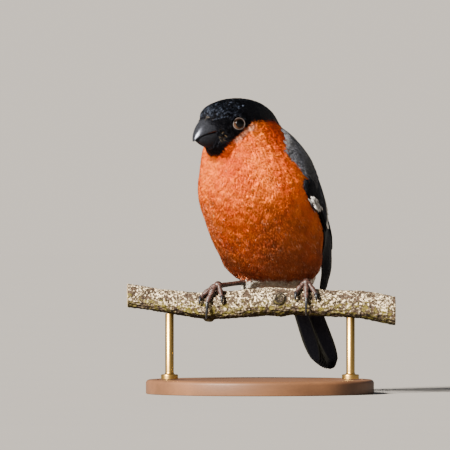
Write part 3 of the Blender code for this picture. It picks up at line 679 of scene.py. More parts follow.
def coat_roots():
    """Evenly strewn roots on the outer form, each with its normal and its place on the unwrap. More
    of them where the coat is fine, and none on the bill, in the eyes or under the folded wings."""
    form = body_form()
    draw = np.random.default_rng(17)
    quads, points, normals = form["quads"], form["points"], form["normals"]
    middle = points[quads].mean(1)
    fine = coat_sizes(middle)[0]
    copies = np.where(fine < 0.3, 4, np.where(fine < 0.6, 2, 1))
    pick = np.repeat(np.arange(len(quads)), copies)
    u, v = draw.uniform(size=(2, len(pick), 1))
    weights = (1 - u) * (1 - v), u * (1 - v), u * v, (1 - u) * v
    place = sum(w * points[quads[pick, k]] for k, w in enumerate(weights))
    normal = unit(sum(w * normals[quads[pick, k]] for k, w in enumerate(weights)))
    unwrap = sum(w * form["uv"][pick, k] for k, w in enumerate(weights))
    head = to_head(to_bird(place))
    from_bill = (head[:, 0] / BILL_REACH[0]) ** 2 + ((head[:, 2] - 0.1) / BILL_REACH[1]) ** 2
    in_bill = (from_bill < 1) & (head[:, 1] > 9)
    in_eye = np.zeros(len(place), bool)
    for side in (1, -1):
        eye = head_world(eye_place(side))
        in_eye |= np.linalg.norm(place - eye, axis=1) < EYE_CLEARING * MM
    cover = tree_of("wing_left", "wing_right")
    bird = to_bird(place)
    line = bird[:, 1:] - WRIST
    run = unit(WING_TIP - WRIST)
    share = line @ run / np.linalg.norm(WING_TIP - WRIST)
    turn = np.degrees(np.arctan2(line @ (run[1], -run[0]), np.abs(bird[:, 0])))
    front = np.interp(share, *WING_FRONT)
    in_wing = (share > WING_FRONT[0][0]) & (share < 0.97) & (turn > front) & (turn < 60)
    keep = ~(in_bill | in_eye | in_wing)
    for k in np.flatnonzero(keep):
        start = Vector(place[k] - normal[k] * 1.5 * MM)
        if cover.ray_cast(start, Vector(normal[k]), 7 * MM)[0] is not None:
            keep[k] = False
    return place[keep], normal[keep], unwrap[keep]


def strand_mesh(knots, ways, sizes, shades, unwrap, strands, levels, draw):
    """One mesh of many tufts. knots are three (point, normal) stations on the outer form for each
    tuft, sizes its length, depth, spread and barb width in metres, shades its colour. Each barb is a
    closed three-sided spike with rings at the given levels along it."""
    count = len(shades)
    length, depth, spread, width = (s[:, None] for s in sizes)
    offset = np.linspace(-1, 1, strands)[None, :] + draw.uniform(-0.16, 0.16, (count, strands))
    reach = (1 - 0.3 * offset**2) * draw.uniform(0.8, 1.12, (count, strands))
    tip_depth = depth * draw.uniform(0.0, 0.3, (count, strands))
    (p0, n0), (p1, _), (p2, n2) = knots
    rings = []
    for share in (*levels, 1.0):
        s = (reach * share)[..., None]
        a, b, c = (1 - s) * (1 - 2 * s), 4 * s * (1 - s), s * (2 * s - 1)
        point = a * p0[:, None] + b * p1[:, None] + c * p2[:, None]
        normal = unit(mix(n0[:, None], n2[:, None], s))
        across = unit(np.cross(normal, ways[:, None]))
        fan = spread * offset * (0.25 + 0.75 * math.sin(0.5 * math.pi * min(1, share * 1.25)))
        low = depth * (1 - share) ** 1.5 + tip_depth * share
        point = point + across * fan[..., None] - normal * low[..., None]
        if share < 1:
            half = (width * (0.35 + 0.27 * share) * np.ones_like(offset))[..., None]
            rings += [point - across * half, point + normal * half * 0.7, point + across * half]
        else:
            rings.append(point)
    corners = len(rings)
    places = np.stack(rings, 2).reshape(-1, 3)
    total = count * strands
    base = (np.arange(total) * corners)[:, None]
    around = ((0, 1), (1, 2), (2, 0))
    faces = [(r + i, r + j, r + j + 3, r + i + 3) for r in range(0, corners - 4, 3) for i, j in around]
    faces += [(corners - 4 + i, corners - 4 + j, corners - 1) for i, j in around] + [(0, 2, 1)]
    order = (base + np.concatenate(faces)[None, :]).ravel()
    sides = np.tile([len(f) for f in faces], total)
    mesh = bpy.data.meshes.new("tufts")
    mesh.vertices.add(len(places))
    mesh.vertices.foreach_set("co", places.astype(np.float32).ravel())
    mesh.loops.add(len(order))
    mesh.loops.foreach_set("vertex_index", order.astype(np.int32))
    mesh.polygons.add(len(sides))
    mesh.polygons.foreach_set("loop_start", np.concatenate(((0,), np.cumsum(sides)[:-1])).astype(np.int32))
    mesh.update(calc_edges=True)
    along = np.append(np.repeat(levels, 3), 1.0)
    patch = np.zeros((count, strands, corners, 2))
    patch[..., 0] = unwrap[:, None, None, 0] + PATCH / 2 * offset[..., None]
    patch[..., 1] = unwrap[:, None, None, 1] + PATCH * (along - 0.5)
    layer = mesh.uv_layers.new(name="OFBake")
    layer.data.foreach_set("uv", patch.reshape(-1, 2)[order].astype(np.float32).ravel())
    tone = shades[:, None, :] * draw.uniform(0.84, 1.16, (count, strands, 1))
    values = np.ones((count, strands, corners, 4))
    values[..., :3] = np.clip(tone, 0, 1)[:, :, None, :]
    values[..., 3] = along
    fill_colours(mesh, values.reshape(-1, 4))
    return mesh


def stations(place, normal, way, length):
    """Three stations of each tuft: its root, its middle and its end, on the outer form or on the
    folded wing where that lies over it."""
    form, wings = body_form()["tree"], tree_of("wing_left", "wing_right")
    found = [(place, normal)]
    for share in (0.5, 1.0):
        spots, ups = [], []
        high = np.where(to_bird(place)[:, 2] > 54, 4, 0.8) * MM
        for aim, step_up in zip(place + way * (length * share)[:, None], high):
            spot, up, _, _ = form.find_nearest(Vector(aim))
            over = wings.ray_cast(spot + up * step_up, -up, step_up)[0]
            spots.append(over + up * 0.35 * MM if over is not None else spot)
            ups.append(up)
        found.append((np.array(spots), np.array(ups)))
    return found


def tuft_sizes(length, depth, spread, width):
    """Sizes of tufts in metres, from millimetres and a spread that is a share of the length."""
    return np.stack(np.broadcast_arrays(length, depth, length * spread, width)) * MM


def nearest_unwrap(points):
    """Where the parts of the skin nearest to points lie on its unwrap."""
    form = body_form()
    return np.array([form["uv"][form["tree"].find_nearest(Vector(point))[2]].mean(0) for point in points])


def grow(name, made, knots, ways, sizes, shades, unwrap, strands, levels, draw):
    """Builds tufts as one or more pieces, each small enough to handle."""
    triangles = len(shades) * strands * (6 * len(levels) - 2)
    rows = np.argsort(knots[0][0][:, 2])
    for part, rows in enumerate(np.array_split(rows, math.ceil(triangles / MOST_TRIANGLES))):
        mesh = strand_mesh(
            [(p[rows], n[rows]) for p, n in knots], ways[rows], sizes[:, rows], shades[rows], unwrap[rows],
            strands, levels, draw,
        )
        piece(f"{name}_{part + 1}", mesh, [made])


COAT_FINISHES = {
    # Glossy black feathers: tight barbs that glint blue-grey
    "black": {"Roughness": 0.42, "Specular IOR Level": 0.2, "Specular Tint": colour("#C4CCE4")},
    # Soft red feathers: loose barbs that scatter light
    "red": {"Roughness": 0.75, "Specular IOR Level": 0.1},
    # Soft grey feathers with a faint blue sheen
    "grey": {"Roughness": 0.62, "Specular IOR Level": 0.4, "Sheen Weight": 0.2, "Sheen Roughness": 0.5},
    # White down: matte and airy
    "white": {"Roughness": 0.8, "Specular IOR Level": 0.3, "Sheen Weight": 0.25, "Sheen Roughness": 0.6},
}
COAT_SLOTS = {"black": "black_cap", "red": "red_breast", "grey": "black_vane", "white": "white_down"}
MOST_TRIANGLES = 190000
# Size of each tuft's patch on the unwrap, and where a long barb has its rings
PATCH = 0.0024
BARB_LEVELS = (0.0, 0.55)


class BULLFINCH_OT_skin(bpy.types.Operator):
    """Build the skin that lies under the feathers and joins head, neck, body and thighs"""

    bl_idname = "bullfinch.skin"
    bl_label = "Build the skin"

    def execute(self, context):
        form = body_form()
        depth = coat_sizes(form["points"])[2]
        bm = bmesh.new()
        bm.from_mesh(form["mesh"])
        for vertex, point, normal, low in zip(bm.verts, form["points"], form["normals"], depth):
            vertex.co = point - normal * low * MM * 0.92
        made, tree, shader = finish("feather_bases", {"Roughness": 0.85, "Specular IOR Level": 0.2})
        marked = add_node(tree, "ShaderNodeAttribute", attribute_name="coat").outputs["Color"]
        fuzz = grain(tree, 0.35, detail=4, stretch=(1, 1, 0.35))
        tree.links.new(scaled(tree, marked, fuzz, 0.5, 0.9), shader.inputs["Base Color"])
        bump = add_node(tree, "ShaderNodeBump", {"Height": fuzz, "Distance": 0.3 * MM, "Strength": 0.8})
        tree.links.new(bump.outputs["Normal"], shader.inputs["Normal"])
        skin = piece("skin", mesh_of(bm), [made], FLESH)
        shade = marking(form["points"])[0]
        fill_colours(skin.data, np.concatenate((shade, np.ones((len(shade), 1))), 1))
        return {"FINISHED"}


class BULLFINCH_OT_coat(bpy.types.Operator):
    """Strew the small body feathers over the skin, each a tuft of tapering barbs"""

    bl_idname = "bullfinch.coat"
    bl_label = "Grow the body feathers"

    def execute(self, context):
        place, normal, unwrap = coat_roots()
        draw = np.random.default_rng(23)
        full = (marking(place)[1]["white"] < 0.5) | (draw.uniform(size=len(place)) < 0.8)
        place, normal, unwrap = place[full], normal[full], unwrap[full]
        bird = to_bird(place)
        size, length, depth = coat_sizes(place)
        way = lie_of(place, normal)
        turn = draw.normal(0, 0.09, len(place))
        way = unit(way + np.cross(normal, way) * turn[:, None])
        length = length * draw.uniform(0.85, 1.15, len(place)) * (1 + 0.1 * ripple(bird, 5, 31))
        head = to_head(bird)
        for side in (1, -1):
            gap = np.linalg.norm(head - eye_place(side), axis=1)
            length = np.minimum(length, np.clip((gap - 3.1) * 1.1 + 0.6, 0.5, 9))
        shade, masks = marking(place, draw.normal(0, 0.3, len(place)))
        shade = shade * draw.uniform(0.86, 1.14, (len(place), 1))
        shade = flecked(shade, bird, masks, draw)
        lift = 1 + 0.25 * ripple(bird, 3.2, 33)
        sizes = tuft_sizes(length, depth * lift, 0.2, mix(0.13, 0.25, size))
        knots = stations(place, normal, way, sizes[0])
        shares = np.stack((masks["black"], masks["white"], masks["grey"], np.full(len(place), 0.5)))
        group = shares.argmax(0)
        made = {label: feather_finish("feathers_" + label, COAT_FINISHES[label]) for label in COAT_SLOTS}
        for number, label in enumerate(("black", "white", "grey", "red")):
            for kind, fits in (("face", length < 2.1), ("body", length >= 2.1)):
                rows = np.flatnonzero((group == number) & fits)
                if len(rows) == 0:
                    continue
                strands = settings("coat").strands - (label in ("white", "grey"))
                strands, levels = (4, (0.0,)) if kind == "face" else (strands, BARB_LEVELS)
                grow(
                    f"coat_{label}_{kind}", made[label],
                    [(p[rows], n[rows]) for p, n in knots], way[rows], sizes[:, rows], shade[rows],
                    unwrap[rows], strands, levels, draw,
                )
        self.bristles(made["black"])
        for side, label in ((1, "left"), (-1, "right")):
            self.shoulder(made["grey"], made["black"], side, label)
        self.flash(made["white"])
        return {"FINISHED"}

    def flash(self, made):
        """The pale inner feathers that slip out over the front edge of the left wing"""
        draw = np.random.default_rng(61)
        count = 62
        along, across = draw.uniform(-1, 1, count), draw.normal(0, 0.5, count)
        aim = FLASH_MIDDLE + np.stack((along * 1.3 + across * 0.7, -along * 2.1 + across * 0.5), -1)
        over = tree_of("wing_left", "torso")
        roots, ups = [], []
        for x, z in aim * MM:
            spot, up, _, _ = over.ray_cast(Vector((x, -0.2, z)), Vector((0, 1, 0)))
            roots.append(spot)
            ups.append(up)
        root, up = np.array(roots), np.array(ups)
        length = draw.uniform(2.3, 4.0, count)
        way = np.array((0.42, 0.25, -0.87)) + draw.normal(0, 0.1, (count, 3))
        way = unit(way - up * np.sum(way * up, axis=1, keepdims=True))
        knots = [
            (root + (way * s * length[:, None] + up * lift) * MM, up)
            for s, lift in ((0, 0.8), (0.5, 2.3), (1, 2.2))
        ]
        shade = np.array(linear("#D6D3CE")) * draw.uniform(0.1, 0.95, (count, 1))
        sizes = tuft_sizes(length, 0.2, 0.13, 0.22)
        unwrap = nearest_unwrap(root)
        grow("wing_flash", made, knots, way, sizes, shade, unwrap, 5, BARB_LEVELS, draw)

    def bristles(self, made):
        """The short bristles that lie forward over the bill's base and the nostrils"""
        draw = np.random.default_rng(41)
        count = 760
        angle = draw.uniform(-math.pi, math.pi, count)
        top = step(np.sin(angle), 0.1, 0.9)
        root = 12.7 + draw.uniform(-1.6, 1.0, count) + 1.4 * top
        reach = (1.3 + 1.3 * top + 0.8 * step(np.sin(angle), -0.3, 0.2)) * draw.uniform(0.7, 1.2, count)
        knots = []
        for share, lift in ((0.0, 0.35), (0.5, 0.6), (1.0, 0.3)):
            place, out = bill_skin(angle, root + reach * share, lift)
            knots.append((head_world(place), bird_way(yawed(out, HEAD_TURN))))
        ways = unit(knots[2][0] - knots[0][0])
        shade = np.array(settings("coat").cap) * draw.uniform(0.8, 1.5, (count, 1))
        spots = draw.uniform(size=count) < 0.07 * step(-np.cos(angle * 2), -1, 0.5)
        shade[spots] = np.array(linear("#6E675C"))
        sizes = tuft_sizes(reach, 0.15, 0.2, 0.15)
        unwrap = nearest_unwrap(knots[0][0])
        grow("bill_bristles", made, knots, ways, sizes, shade, unwrap, 4, BARB_LEVELS, draw)

    def shoulder(self, made, dark, side, label):
        """The soft grey feathers of the shoulder, over the root of the wing, and the small black ones
        down the wing's front edge"""
        draw = np.random.default_rng(51 + side)
        count, edge = 1560, 220
        share, turn = draw.uniform(-0.07, 0.15, count), np.radians(draw.uniform(-12, 84, count))
        share[:edge] = draw.uniform(0.09, 0.25, edge)
        turn[:edge] = np.radians(draw.uniform(-23, -11, edge) - 12 * (share[:edge] - 0.1))
        length = draw.uniform(3.4, 4.8, count)
        knots = []
        for along, lift in ((0.0, 0.9), (0.5, 1.85), (1.0, 1.95)):
            at = share + along * length / WING_LENGTH
            sunk = 1.2 * step(-at, -0.02, 0.07) + 1.1 * step(turn, 0.3, 0.9) * step(-at, -0.12, 0.02)
            height = lift - sunk
            low, high = (wing_point(side, at, turn, height + h) for h in (-1, 0))
            knots.append((in_bird(high), bird_way(high - low)))
        ways = unit(knots[2][0] - knots[0][0])
        grey = np.array(settings("coat").mantle)
        # Painted shade: the tufts at the root end, below share -0.06, are darkened; past share 0.09,
        # towards the wing's dark coverts, they are much darker.
        light = 0.55 + 0.55 * step(share, -0.06, 0.0) - 0.95 * step(share, 0.01, 0.09)
        shade = grey * draw.uniform(0.1, 1.5, (count, 1)) * light[:, None]
        shade[:edge] = np.array(settings("vanes").black) * draw.uniform(0.5, 1.6, (edge, 1))
        sizes = tuft_sizes(length, 0.3, 0.24, 0.26)
        unwrap = nearest_unwrap(knots[0][0])
        for name, finished, rows in (
            (f"shoulder_{label}", made, slice(edge, None)), (f"wing_edge_{label}", dark, slice(0, edge)),
        ):
            near = [(p[rows], n[rows]) for p, n in knots]
            grow(
                name, finished, near, ways[rows], sizes[:, rows], shade[rows], unwrap[rows],
                4, BARB_LEVELS, draw,
            )


# Wings and tail


def vane(bm, layers, place, tint, length, half_width, rows, columns):
    """One feather: a thin closed blade with a raised shaft. place(along, across, face) gives its
    points in the bird frame, and tint(along, across) its colour."""
    web, marks = layers
    start = len(bm.verts)
    bmesh.ops.create_grid(bm, x_segments=columns, y_segments=rows, size=1)
    bm.verts.ensure_lookup_table()
    lower = [bm.verts[k] for k in range(start, len(bm.verts))]
    faces = list({f for v in lower for f in v.link_faces})
    raised = bmesh.ops.extrude_face_region(bm, geom=faces)["geom"]
    upper = [g for g in raised if isinstance(g, bmesh.types.BMVert)]
    for face, vertices in ((0, lower), (1, upper)):
        grid = np.array([(v.co.x, (v.co.y + 1) / 2) for v in vertices])
        across = np.sign(grid[:, 0]) * np.abs(grid[:, 0]) ** 1.35
        along = grid[:, 1]
        points = in_bird(place(along, across, face))
        shades = tint(along, across)
        for vertex, point, shade, a, s in zip(vertices, points, shades, across, along):
            vertex.co = point
            vertex[marks] = (*shade, 1.0)
            for loop in vertex.link_loops:
                loop[web].uv = (a * half_width, s * length)


def feather_width(along, blunt):
    """A feather's half width along it, as a share: narrow quill, even web, rounded tip."""
    web = np.minimum(1.0, 0.35 + 2.4 * along)
    tip = np.clip((along - 0.7) / 0.3, 0, 1)
    return web * np.maximum(blunt, np.sqrt(np.clip(1 - tip**2.3, 0, 1)))


def vane_layers(bm):
    return bm.loops.layers.uv.new("vane"), bm.verts.layers.float_color.new("coat")


def evenly(values, share):
    """Values given at even steps from 0 to 1, read at a share."""
    return np.interp(share, np.linspace(0, 1, len(values)), values)


@cache
def wing_grid():
    """How far the bed of a folded wing lies out of the wing's line, on a grid of places along it and
    turns up from the side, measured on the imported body."""
    flesh = tree_of("torso", "neck")
    shares, turns = np.linspace(-0.1, 1.1, 49), np.radians(np.linspace(-45, 110, 63))
    run = unit(WING_TIP - WRIST)
    bed = np.zeros((len(shares), len(turns)))
    for i, share in enumerate(shares):
        heart = WRIST + (WING_TIP - WRIST) * share
        for j, turn in enumerate(turns):
            out = np.array((math.cos(turn), run[1] * math.sin(turn), -run[0] * math.sin(turn)))
            ends = in_bird(np.array(((0, *heart) + out * 45, (0, *heart))))
            hit = flesh.ray_cast(Vector(ends[0]), Vector(ends[1] - ends[0]).normalized(), 0.045)
            body = 45 - hit[3] / MM if hit[0] is not None else 0.0
            clear = 1 / math.hypot(
                math.cos(turn) / evenly(WING_SIDE, share), math.sin(turn) / evenly(WING_BACK, share)
            )
            bed[i, j] = WING_BLEND * math.log(
                math.exp(clear / WING_BLEND) + math.exp((body + WING_LIFT) / WING_BLEND)
            )
    for _ in range(2):
        padded = np.pad(bed, 1, mode="edge")
        bed = (padded[:-2, 1:-1] + padded[2:, 1:-1] + padded[1:-1, :-2] + padded[1:-1, 2:] + 2 * bed) / 6
    return {"shares": shares, "turns": turns, "bed": bed}


def wing_bed(share, turn):
    """The bed's distance at places along the wing and turns, read from the grid."""
    grid = wing_grid()
    x = np.clip((share - grid["shares"][0]) / (grid["shares"][1] - grid["shares"][0]), 0, 47.999)
    y = np.clip((turn - grid["turns"][0]) / (grid["turns"][1] - grid["turns"][0]), 0, 61.999)
    i, j = x.astype(int), y.astype(int)
    u, v = x - i, y - j
    bed = grid["bed"]
    low = bed[i, j] * (1 - v) + bed[i, j + 1] * v
    high = bed[i + 1, j] * (1 - v) + bed[i + 1, j + 1] * v
    return low * (1 - u) + high * u - 0.35 - WING_SINK * np.clip(1 - share / 0.35, 0, None)


def wing_point(side, share, turn, lift):
    """Places of the bird frame on a folded wing: share from wrist to tip, turn from the side up to
    the back, lift in millimetres out of the wing's bed."""
    turn = math.pi / 2 - (math.pi / 2 - turn) * WING_SPREAD[side]
    reach = wing_bed(share, turn) + lift
    line = WRIST + (WING_TIP - WRIST) * share[:, None]
    run = unit(WING_TIP - WRIST)
    dorsal = reach * np.sin(turn)
    return np.stack(
        (reach * np.cos(turn) * side, line[:, 0] + run[1] * dorsal, line[:, 1] - run[0] * dorsal), -1
    )


# How far down the side the folded wing hides the body's coat: share along it and turn in degrees
WING_FRONT = ((0.02, 0.1, 0.18, 0.28, 0.45, 0.6, 0.8, 1.0), (-2, -17, -22, -20, -18, -18, -15, -8))

# Tiers of wing feathers, from the lowest up: count, then (share, turn) of the first and last
# feather's root and tip, half width, lift and how far the lower edge stands up, in millimetres
WING_TIERS = {
    "primary": (9, ((0.32, -15), (0.30, 10)), ((0.985, -8), (0.74, 45)), 3.1, 0.3, 0.35),
    "secondary": (7, ((0.24, 12), (0.20, 46)), ((0.72, 20), (0.67, 66)), 3.7, 0.65, 0.4),
    "tertial": (3, ((0.16, 50), (0.14, 66)), ((0.68, 62), (0.56, 73)), 3.9, 0.9, 0.45),
    "primary_covert": (5, ((0.19, -15), (0.18, -4)), ((0.48, -12), (0.41, -3)), 2.0, 0.75, 0.3),
    "alula": (2, ((0.13, -17), (0.13, -11)), ((0.33, -15), (0.29, -9)), 1.7, 1.0, 0.3),
    "greater_covert": (10, ((0.17, -11), (0.12, 60)), ((0.475, -8), (0.425, 68)), 3.1, 1.3, 0.4),
    "median_covert": (9, ((0.07, -12), (0.06, 52)), ((0.30, -8), (0.25, 64)), 3.1, 1.5, 0.4),
    "lesser_covert": (8, ((0.03, -8), (0.04, 44)), ((0.20, -5), (0.17, 56)), 2.7, 1.6, 0.35),
}
QUILL_TIERS = ("primary", "secondary", "tertial")


def wing_tint(tier, number, count):
    """The colour of one wing feather, as a function of along and across."""
    vanes, coat = settings("vanes"), settings("coat")
    black, bar, grey = np.array(vanes.black), np.array(vanes.bar), np.array(coat.mantle)
    edge = np.array(linear("#2C2924"))
    share = number / (count - 1)

    def tint(along, across):
        shade = np.tile(black, (len(along), 1))
        if tier == "greater_covert":
            start = 0.79 - 0.03 * math.sin(math.pi * share)
            tip = step(along + 0.06 * np.abs(across), start, start + 0.07)
            shade = mix(shade, bar, tip[:, None])
        elif tier == "median_covert":
            shade = mix(shade, grey * 0.25, step(along + 0.25 * across**2, 0.75, 1.05)[:, None])
        elif tier == "lesser_covert":
            centre = 0.6 * (1 - step(np.abs(across), 0.2, 0.8)) * (1 - step(along, 0.75, 0.98))
            shade = np.tile(grey, (len(along), 1)) * (0.62 - centre * 0.9)[:, None] * 0.4
        elif tier in ("primary", "primary_covert", "alula"):
            line = step(-across, 0.72, 0.95) * step(along, 0.15, 0.35)
            shade = mix(shade, edge, 0.75 * line[:, None])
        elif tier == "tertial" and number == count - 1:
            warm = step(-across, 0.45, 0.95) * step(along, 0.3, 0.6) * 0.07
            shade = mix(shade, np.array(coat.breast_deep), warm[:, None])
        return shade

    return tint


def wing_feather(bm, layers, side, tier, number):
    count, roots, tips, half_width, lift, roll = WING_TIERS[tier]
    share = number / (count - 1)
    (start, low) = (mix(a, b, share) for a, b in zip(*roots))
    (end, high) = (mix(a, b, share) for a, b in zip(*tips))
    draw = np.random.default_rng(700 + 31 * number + len(tier))
    end += draw.uniform(-0.006, 0.006)
    thick = settings("vanes").thickness / MM
    blunt = 0.12 if tier in QUILL_TIERS else 0.05

    def place(along, across, face):
        at = start + (end - start) * along
        width = half_width * feather_width(along, blunt)
        turn = np.radians(low + (high - low) * along)
        turn = turn + across * width / wing_bed(at, turn)
        height = lift - roll * across * (0.4 + 0.6 * along) - 0.25 * across**2
        shaft = 0.14 * np.exp(-((across / 0.07) ** 2)) * (1 - 0.8 * along)
        height = height + (thick * 0.5 + shaft) * (face * 2 - 1)
        height = height - (lift + 0.5) * np.clip(1 - along / 0.3, 0, None) ** 1.5
        return wing_point(side, at, turn, height)

    length = WING_LENGTH * (end - start)
    rows = 18 if tier in QUILL_TIERS else 11
    vane(bm, layers, place, wing_tint(tier, number, count), length, half_width, rows, 8)


class BULLFINCH_OT_wings(bpy.types.Operator):
    """Lay the flight feathers and coverts of both folded wings"""

    bl_idname = "bullfinch.wings"
    bl_label = "Lay the wing feathers"

    def execute(self, context):
        satin = vane_finish(
            "wing_vanes",
            {"Roughness": 0.55, "Specular IOR Level": 0.05, "Specular Tint": colour("#B4BCE4")},
        )
        for side, label in ((1, "left"), (-1, "right")):
            for group, tiers in (
                ("quills", QUILL_TIERS),
                ("coverts", [t for t in WING_TIERS if t not in QUILL_TIERS]),
            ):
                bm = bmesh.new()
                layers = vane_layers(bm)
                for tier in tiers:
                    for number in range(WING_TIERS[tier][0]):
                        wing_feather(bm, layers, side, tier, number)
                bmesh.ops.recalc_face_normals(bm, faces=bm.faces)
                stands_for = ("wing_" + label,) if group == "quills" else ()
                piece(f"wing_{label}_{group}", mesh_of(bm), [satin], stands_for)
        return {"FINISHED"}


def tail_point(distance, left, lift):
    """Places of the bird frame on the tail: millimetres down its line, to the left and out of its back."""
    run = unit(TAIL_TIP - TAIL_ROOT)
    line = TAIL_ROOT + run * distance[:, None] + np.array((run[1], -run[0])) * lift[:, None]
    return np.stack((left, line[:, 0], line[:, 1]), -1)


def tail_feather(bm, layers, start, end, left, half_width, lift, roll, tint, blunt=0.12, rows=18):
    """One tail feather or covert. left gives its middle at root and tip, roll lifts its outer edge."""
    thick = settings("vanes").thickness / MM

    def place(along, across, face):
        middle = left[0] + (left[1] - left[0]) * along
        width = half_width * feather_width(along, blunt)
        shaft = 0.14 * np.exp(-((across / 0.07) ** 2)) * (1 - 0.8 * along)
        height = lift + roll * across + (thick * 0.5 + shaft) * (face * 2 - 1)
        arch = -0.012 * (middle + across * width) ** 2
        return tail_point(start + (end - start) * along, middle + across * width, height + arch)

    vane(bm, layers, place, tint, end - start, half_width, rows, 8)


def even_tint(shade, edge, strength):
    """A plain feather with a paler edge."""

    def tint(along, across):
        line = step(np.abs(across), 0.8, 1.0) * strength
        return mix(np.tile(shade, (len(along), 1)), edge, line[:, None])

    return tint


class BULLFINCH_OT_tail(bpy.types.Operator):
    """Lay the twelve tail feathers and the coverts over and under them"""

    bl_idname = "bullfinch.tail"
    bl_label = "Lay the tail feathers"

    def execute(self, context):
        satin = vane_finish(
            "tail_vanes",
            {"Roughness": 0.55, "Specular IOR Level": 0.15, "Specular Tint": colour("#BDB2E4")},
        )
        vanes, coat = settings("vanes"), settings("coat")
        length = np.linalg.norm(TAIL_TIP - TAIL_ROOT)
        bm = bmesh.new()
        layers = vane_layers(bm)
        dark = even_tint(np.array(vanes.black) * 0.6, np.array(linear("#2A2A20")), 0.6)
        for side in (1, -1):
            for k in range(6):
                out = k / 5
                left = (side * (0.5 + 1.6 * out), side * (0.55 + 3.6 * out))
                end = length - 3.4 * out**2
                tail_feather(bm, layers, 2, end, left, 3.8, 0.5 - 0.9 * out, side * 0.35, dark)
        for start, end, lift, reach in ((-2, 22, 1.2, 3.3), (-3, 14, 1.8, 3.0)):
            for k in np.linspace(-1, 1, 5):
                tail_feather(
                    bm, layers, start, end - 2 * abs(k), (k * 2.2, k * reach), 2.6, lift - 0.3 * abs(k),
                    -0.25 * k, dark, blunt=0.05, rows=12,
                )
        bmesh.ops.recalc_face_normals(bm, faces=bm.faces)
        piece("tail_feathers", mesh_of(bm), [satin], ("tail",))
        soft = vane_finish(
            "vent_vanes", {"Roughness": 0.8, "Specular IOR Level": 0.3, "Sheen Weight": 0.25}
        )
        white = even_tint(np.array(coat.vent), np.array(coat.vent) * 0.9, 0.5)
        bm = bmesh.new()
        layers = vane_layers(bm)
        for start, end, lift, reach in ((-2, 25, -1.9, 2.9), (-3, 17, -2.6, 3.2), (-4, 9, -3.2, 3.4)):
            for k in np.linspace(-1, 1, 5):
                tail_feather(
                    bm, layers, start, end - 2.5 * abs(k), (k * 2.0, k * reach), 2.4, lift + 0.3 * abs(k),
                    0.25 * k, white, blunt=0.05, rows=12,
                )
        bmesh.ops.recalc_face_normals(bm, faces=bm.faces)
        piece("tail_under_coverts", mesh_of(bm), [soft])
        return {"FINISHED"}


# Bill and eyes


def curve_through(rows, share):
    """Rows of numbers read smoothly at shares from 0 to 1 (Catmull-Rom)."""
    knots = np.asarray(rows, float)
    x = np.clip(np.asarray(share, float), 0, 1) * (len(knots) - 1)
    i = np.minimum(x.astype(int), len(knots) - 2)
    t = (x - i)[:, None]
    before, a = knots[np.maximum(i - 1, 0)], knots[i]
    b, after = knots[i + 1], knots[np.minimum(i + 2, len(knots) - 1)]
    return 0.5 * (
        2 * a + (b - before) * t + (2 * before - 5 * a + 4 * b - after) * t**2
        + (3 * a - before - 3 * b + after) * t**3
    )


def bill_skin(angle, forward, lift):
    """Places of the head frame on the bill at an angle up from its left side, and the ways out."""
    above = np.sin(angle) >= 0
    halves = [np.array(rows).T for rows in (UPPER_BILL, LOWER_BILL)]
    half, mouth, outer = (
        np.where(above, *(np.interp(forward, rows[0], rows[k]) for rows in halves)) for k in (1, 2, 3)
    )
    bulge = np.abs(np.sin(angle)) ** 0.85
    place = np.stack((half * np.cos(angle), forward, mouth + (outer - mouth) * bulge), -1)
    out = unit(np.stack((np.cos(angle) / half, np.full(len(half), 0.08), bulge / (outer - mouth)), -1))
    return place + out * lift, out


def bill_shell(bm, rows, upper):
    """Half of the bill: half-round sections, with a crisp cutting edge along the mouth."""

    def place(turn, share):
        forward, half, mouth, outer = curve_through(rows, np.clip((share - 0.02) / 0.96, 0, 1)).T
        closed = np.where((share < 0.019) | (share > 0.981), 0.0, 1.0)
        bulge = np.where(turn <= math.pi, np.abs(np.sin(turn)) ** 0.85, 0.0)
        inner = np.where(turn > math.pi, np.abs(np.sin(turn)), 0.0)
        up = mouth + (outer - mouth) * bulge + (0.5 if upper else -0.5) * inner
        lip = 0.16 * np.exp(-((np.abs(np.cos(turn)) - 1) / 0.06) ** 2)
        left = half * np.cos(turn) * (1 + lip * 0.3)
        centre = mouth + (outer - mouth) * 0.4
        return head_world(np.stack((left * closed, forward, mix(centre, up, closed)), -1))

    wrap(bm, 64, 48, place)


class BULLFINCH_OT_bill(bpy.types.Operator):
    """Model the two halves of the short, deep bill"""

    bl_idname = "bullfinch.bill"
    bl_label = "Model the bill"

    def execute(self, context):
        for name, rows, rough, gloss in (
            ("upper", UPPER_BILL, 0.28, 0.45), ("lower", LOWER_BILL, 0.6, 0.05),
        ):
            horn = horn_finish(
                f"{name}_bill_horn", settings("horn").horn, rough,
                {"Specular IOR Level": gloss, "Specular Tint": colour("#C9D2EA")},
            )
            bm = bmesh.new()
            bill_shell(bm, rows, name == "upper")
            piece(f"bill_{name}_horn", mesh_of(bm), [horn], ("bill_" + name,))
        return {"FINISHED"}


def eye_frame(side):
    """An eye's centre and the turn that brings +Z to the way it looks."""
    centre = Vector(head_world(eye_place(side)))
    ahead = head_world(np.array(((0, 0, 0), (side * math.sin(EYE_TURN), math.cos(EYE_TURN), 0.06))))
    axis = Vector(ahead[1] - ahead[0]).normalized()
    return centre, axis.to_track_quat("Z", "Y").to_matrix()


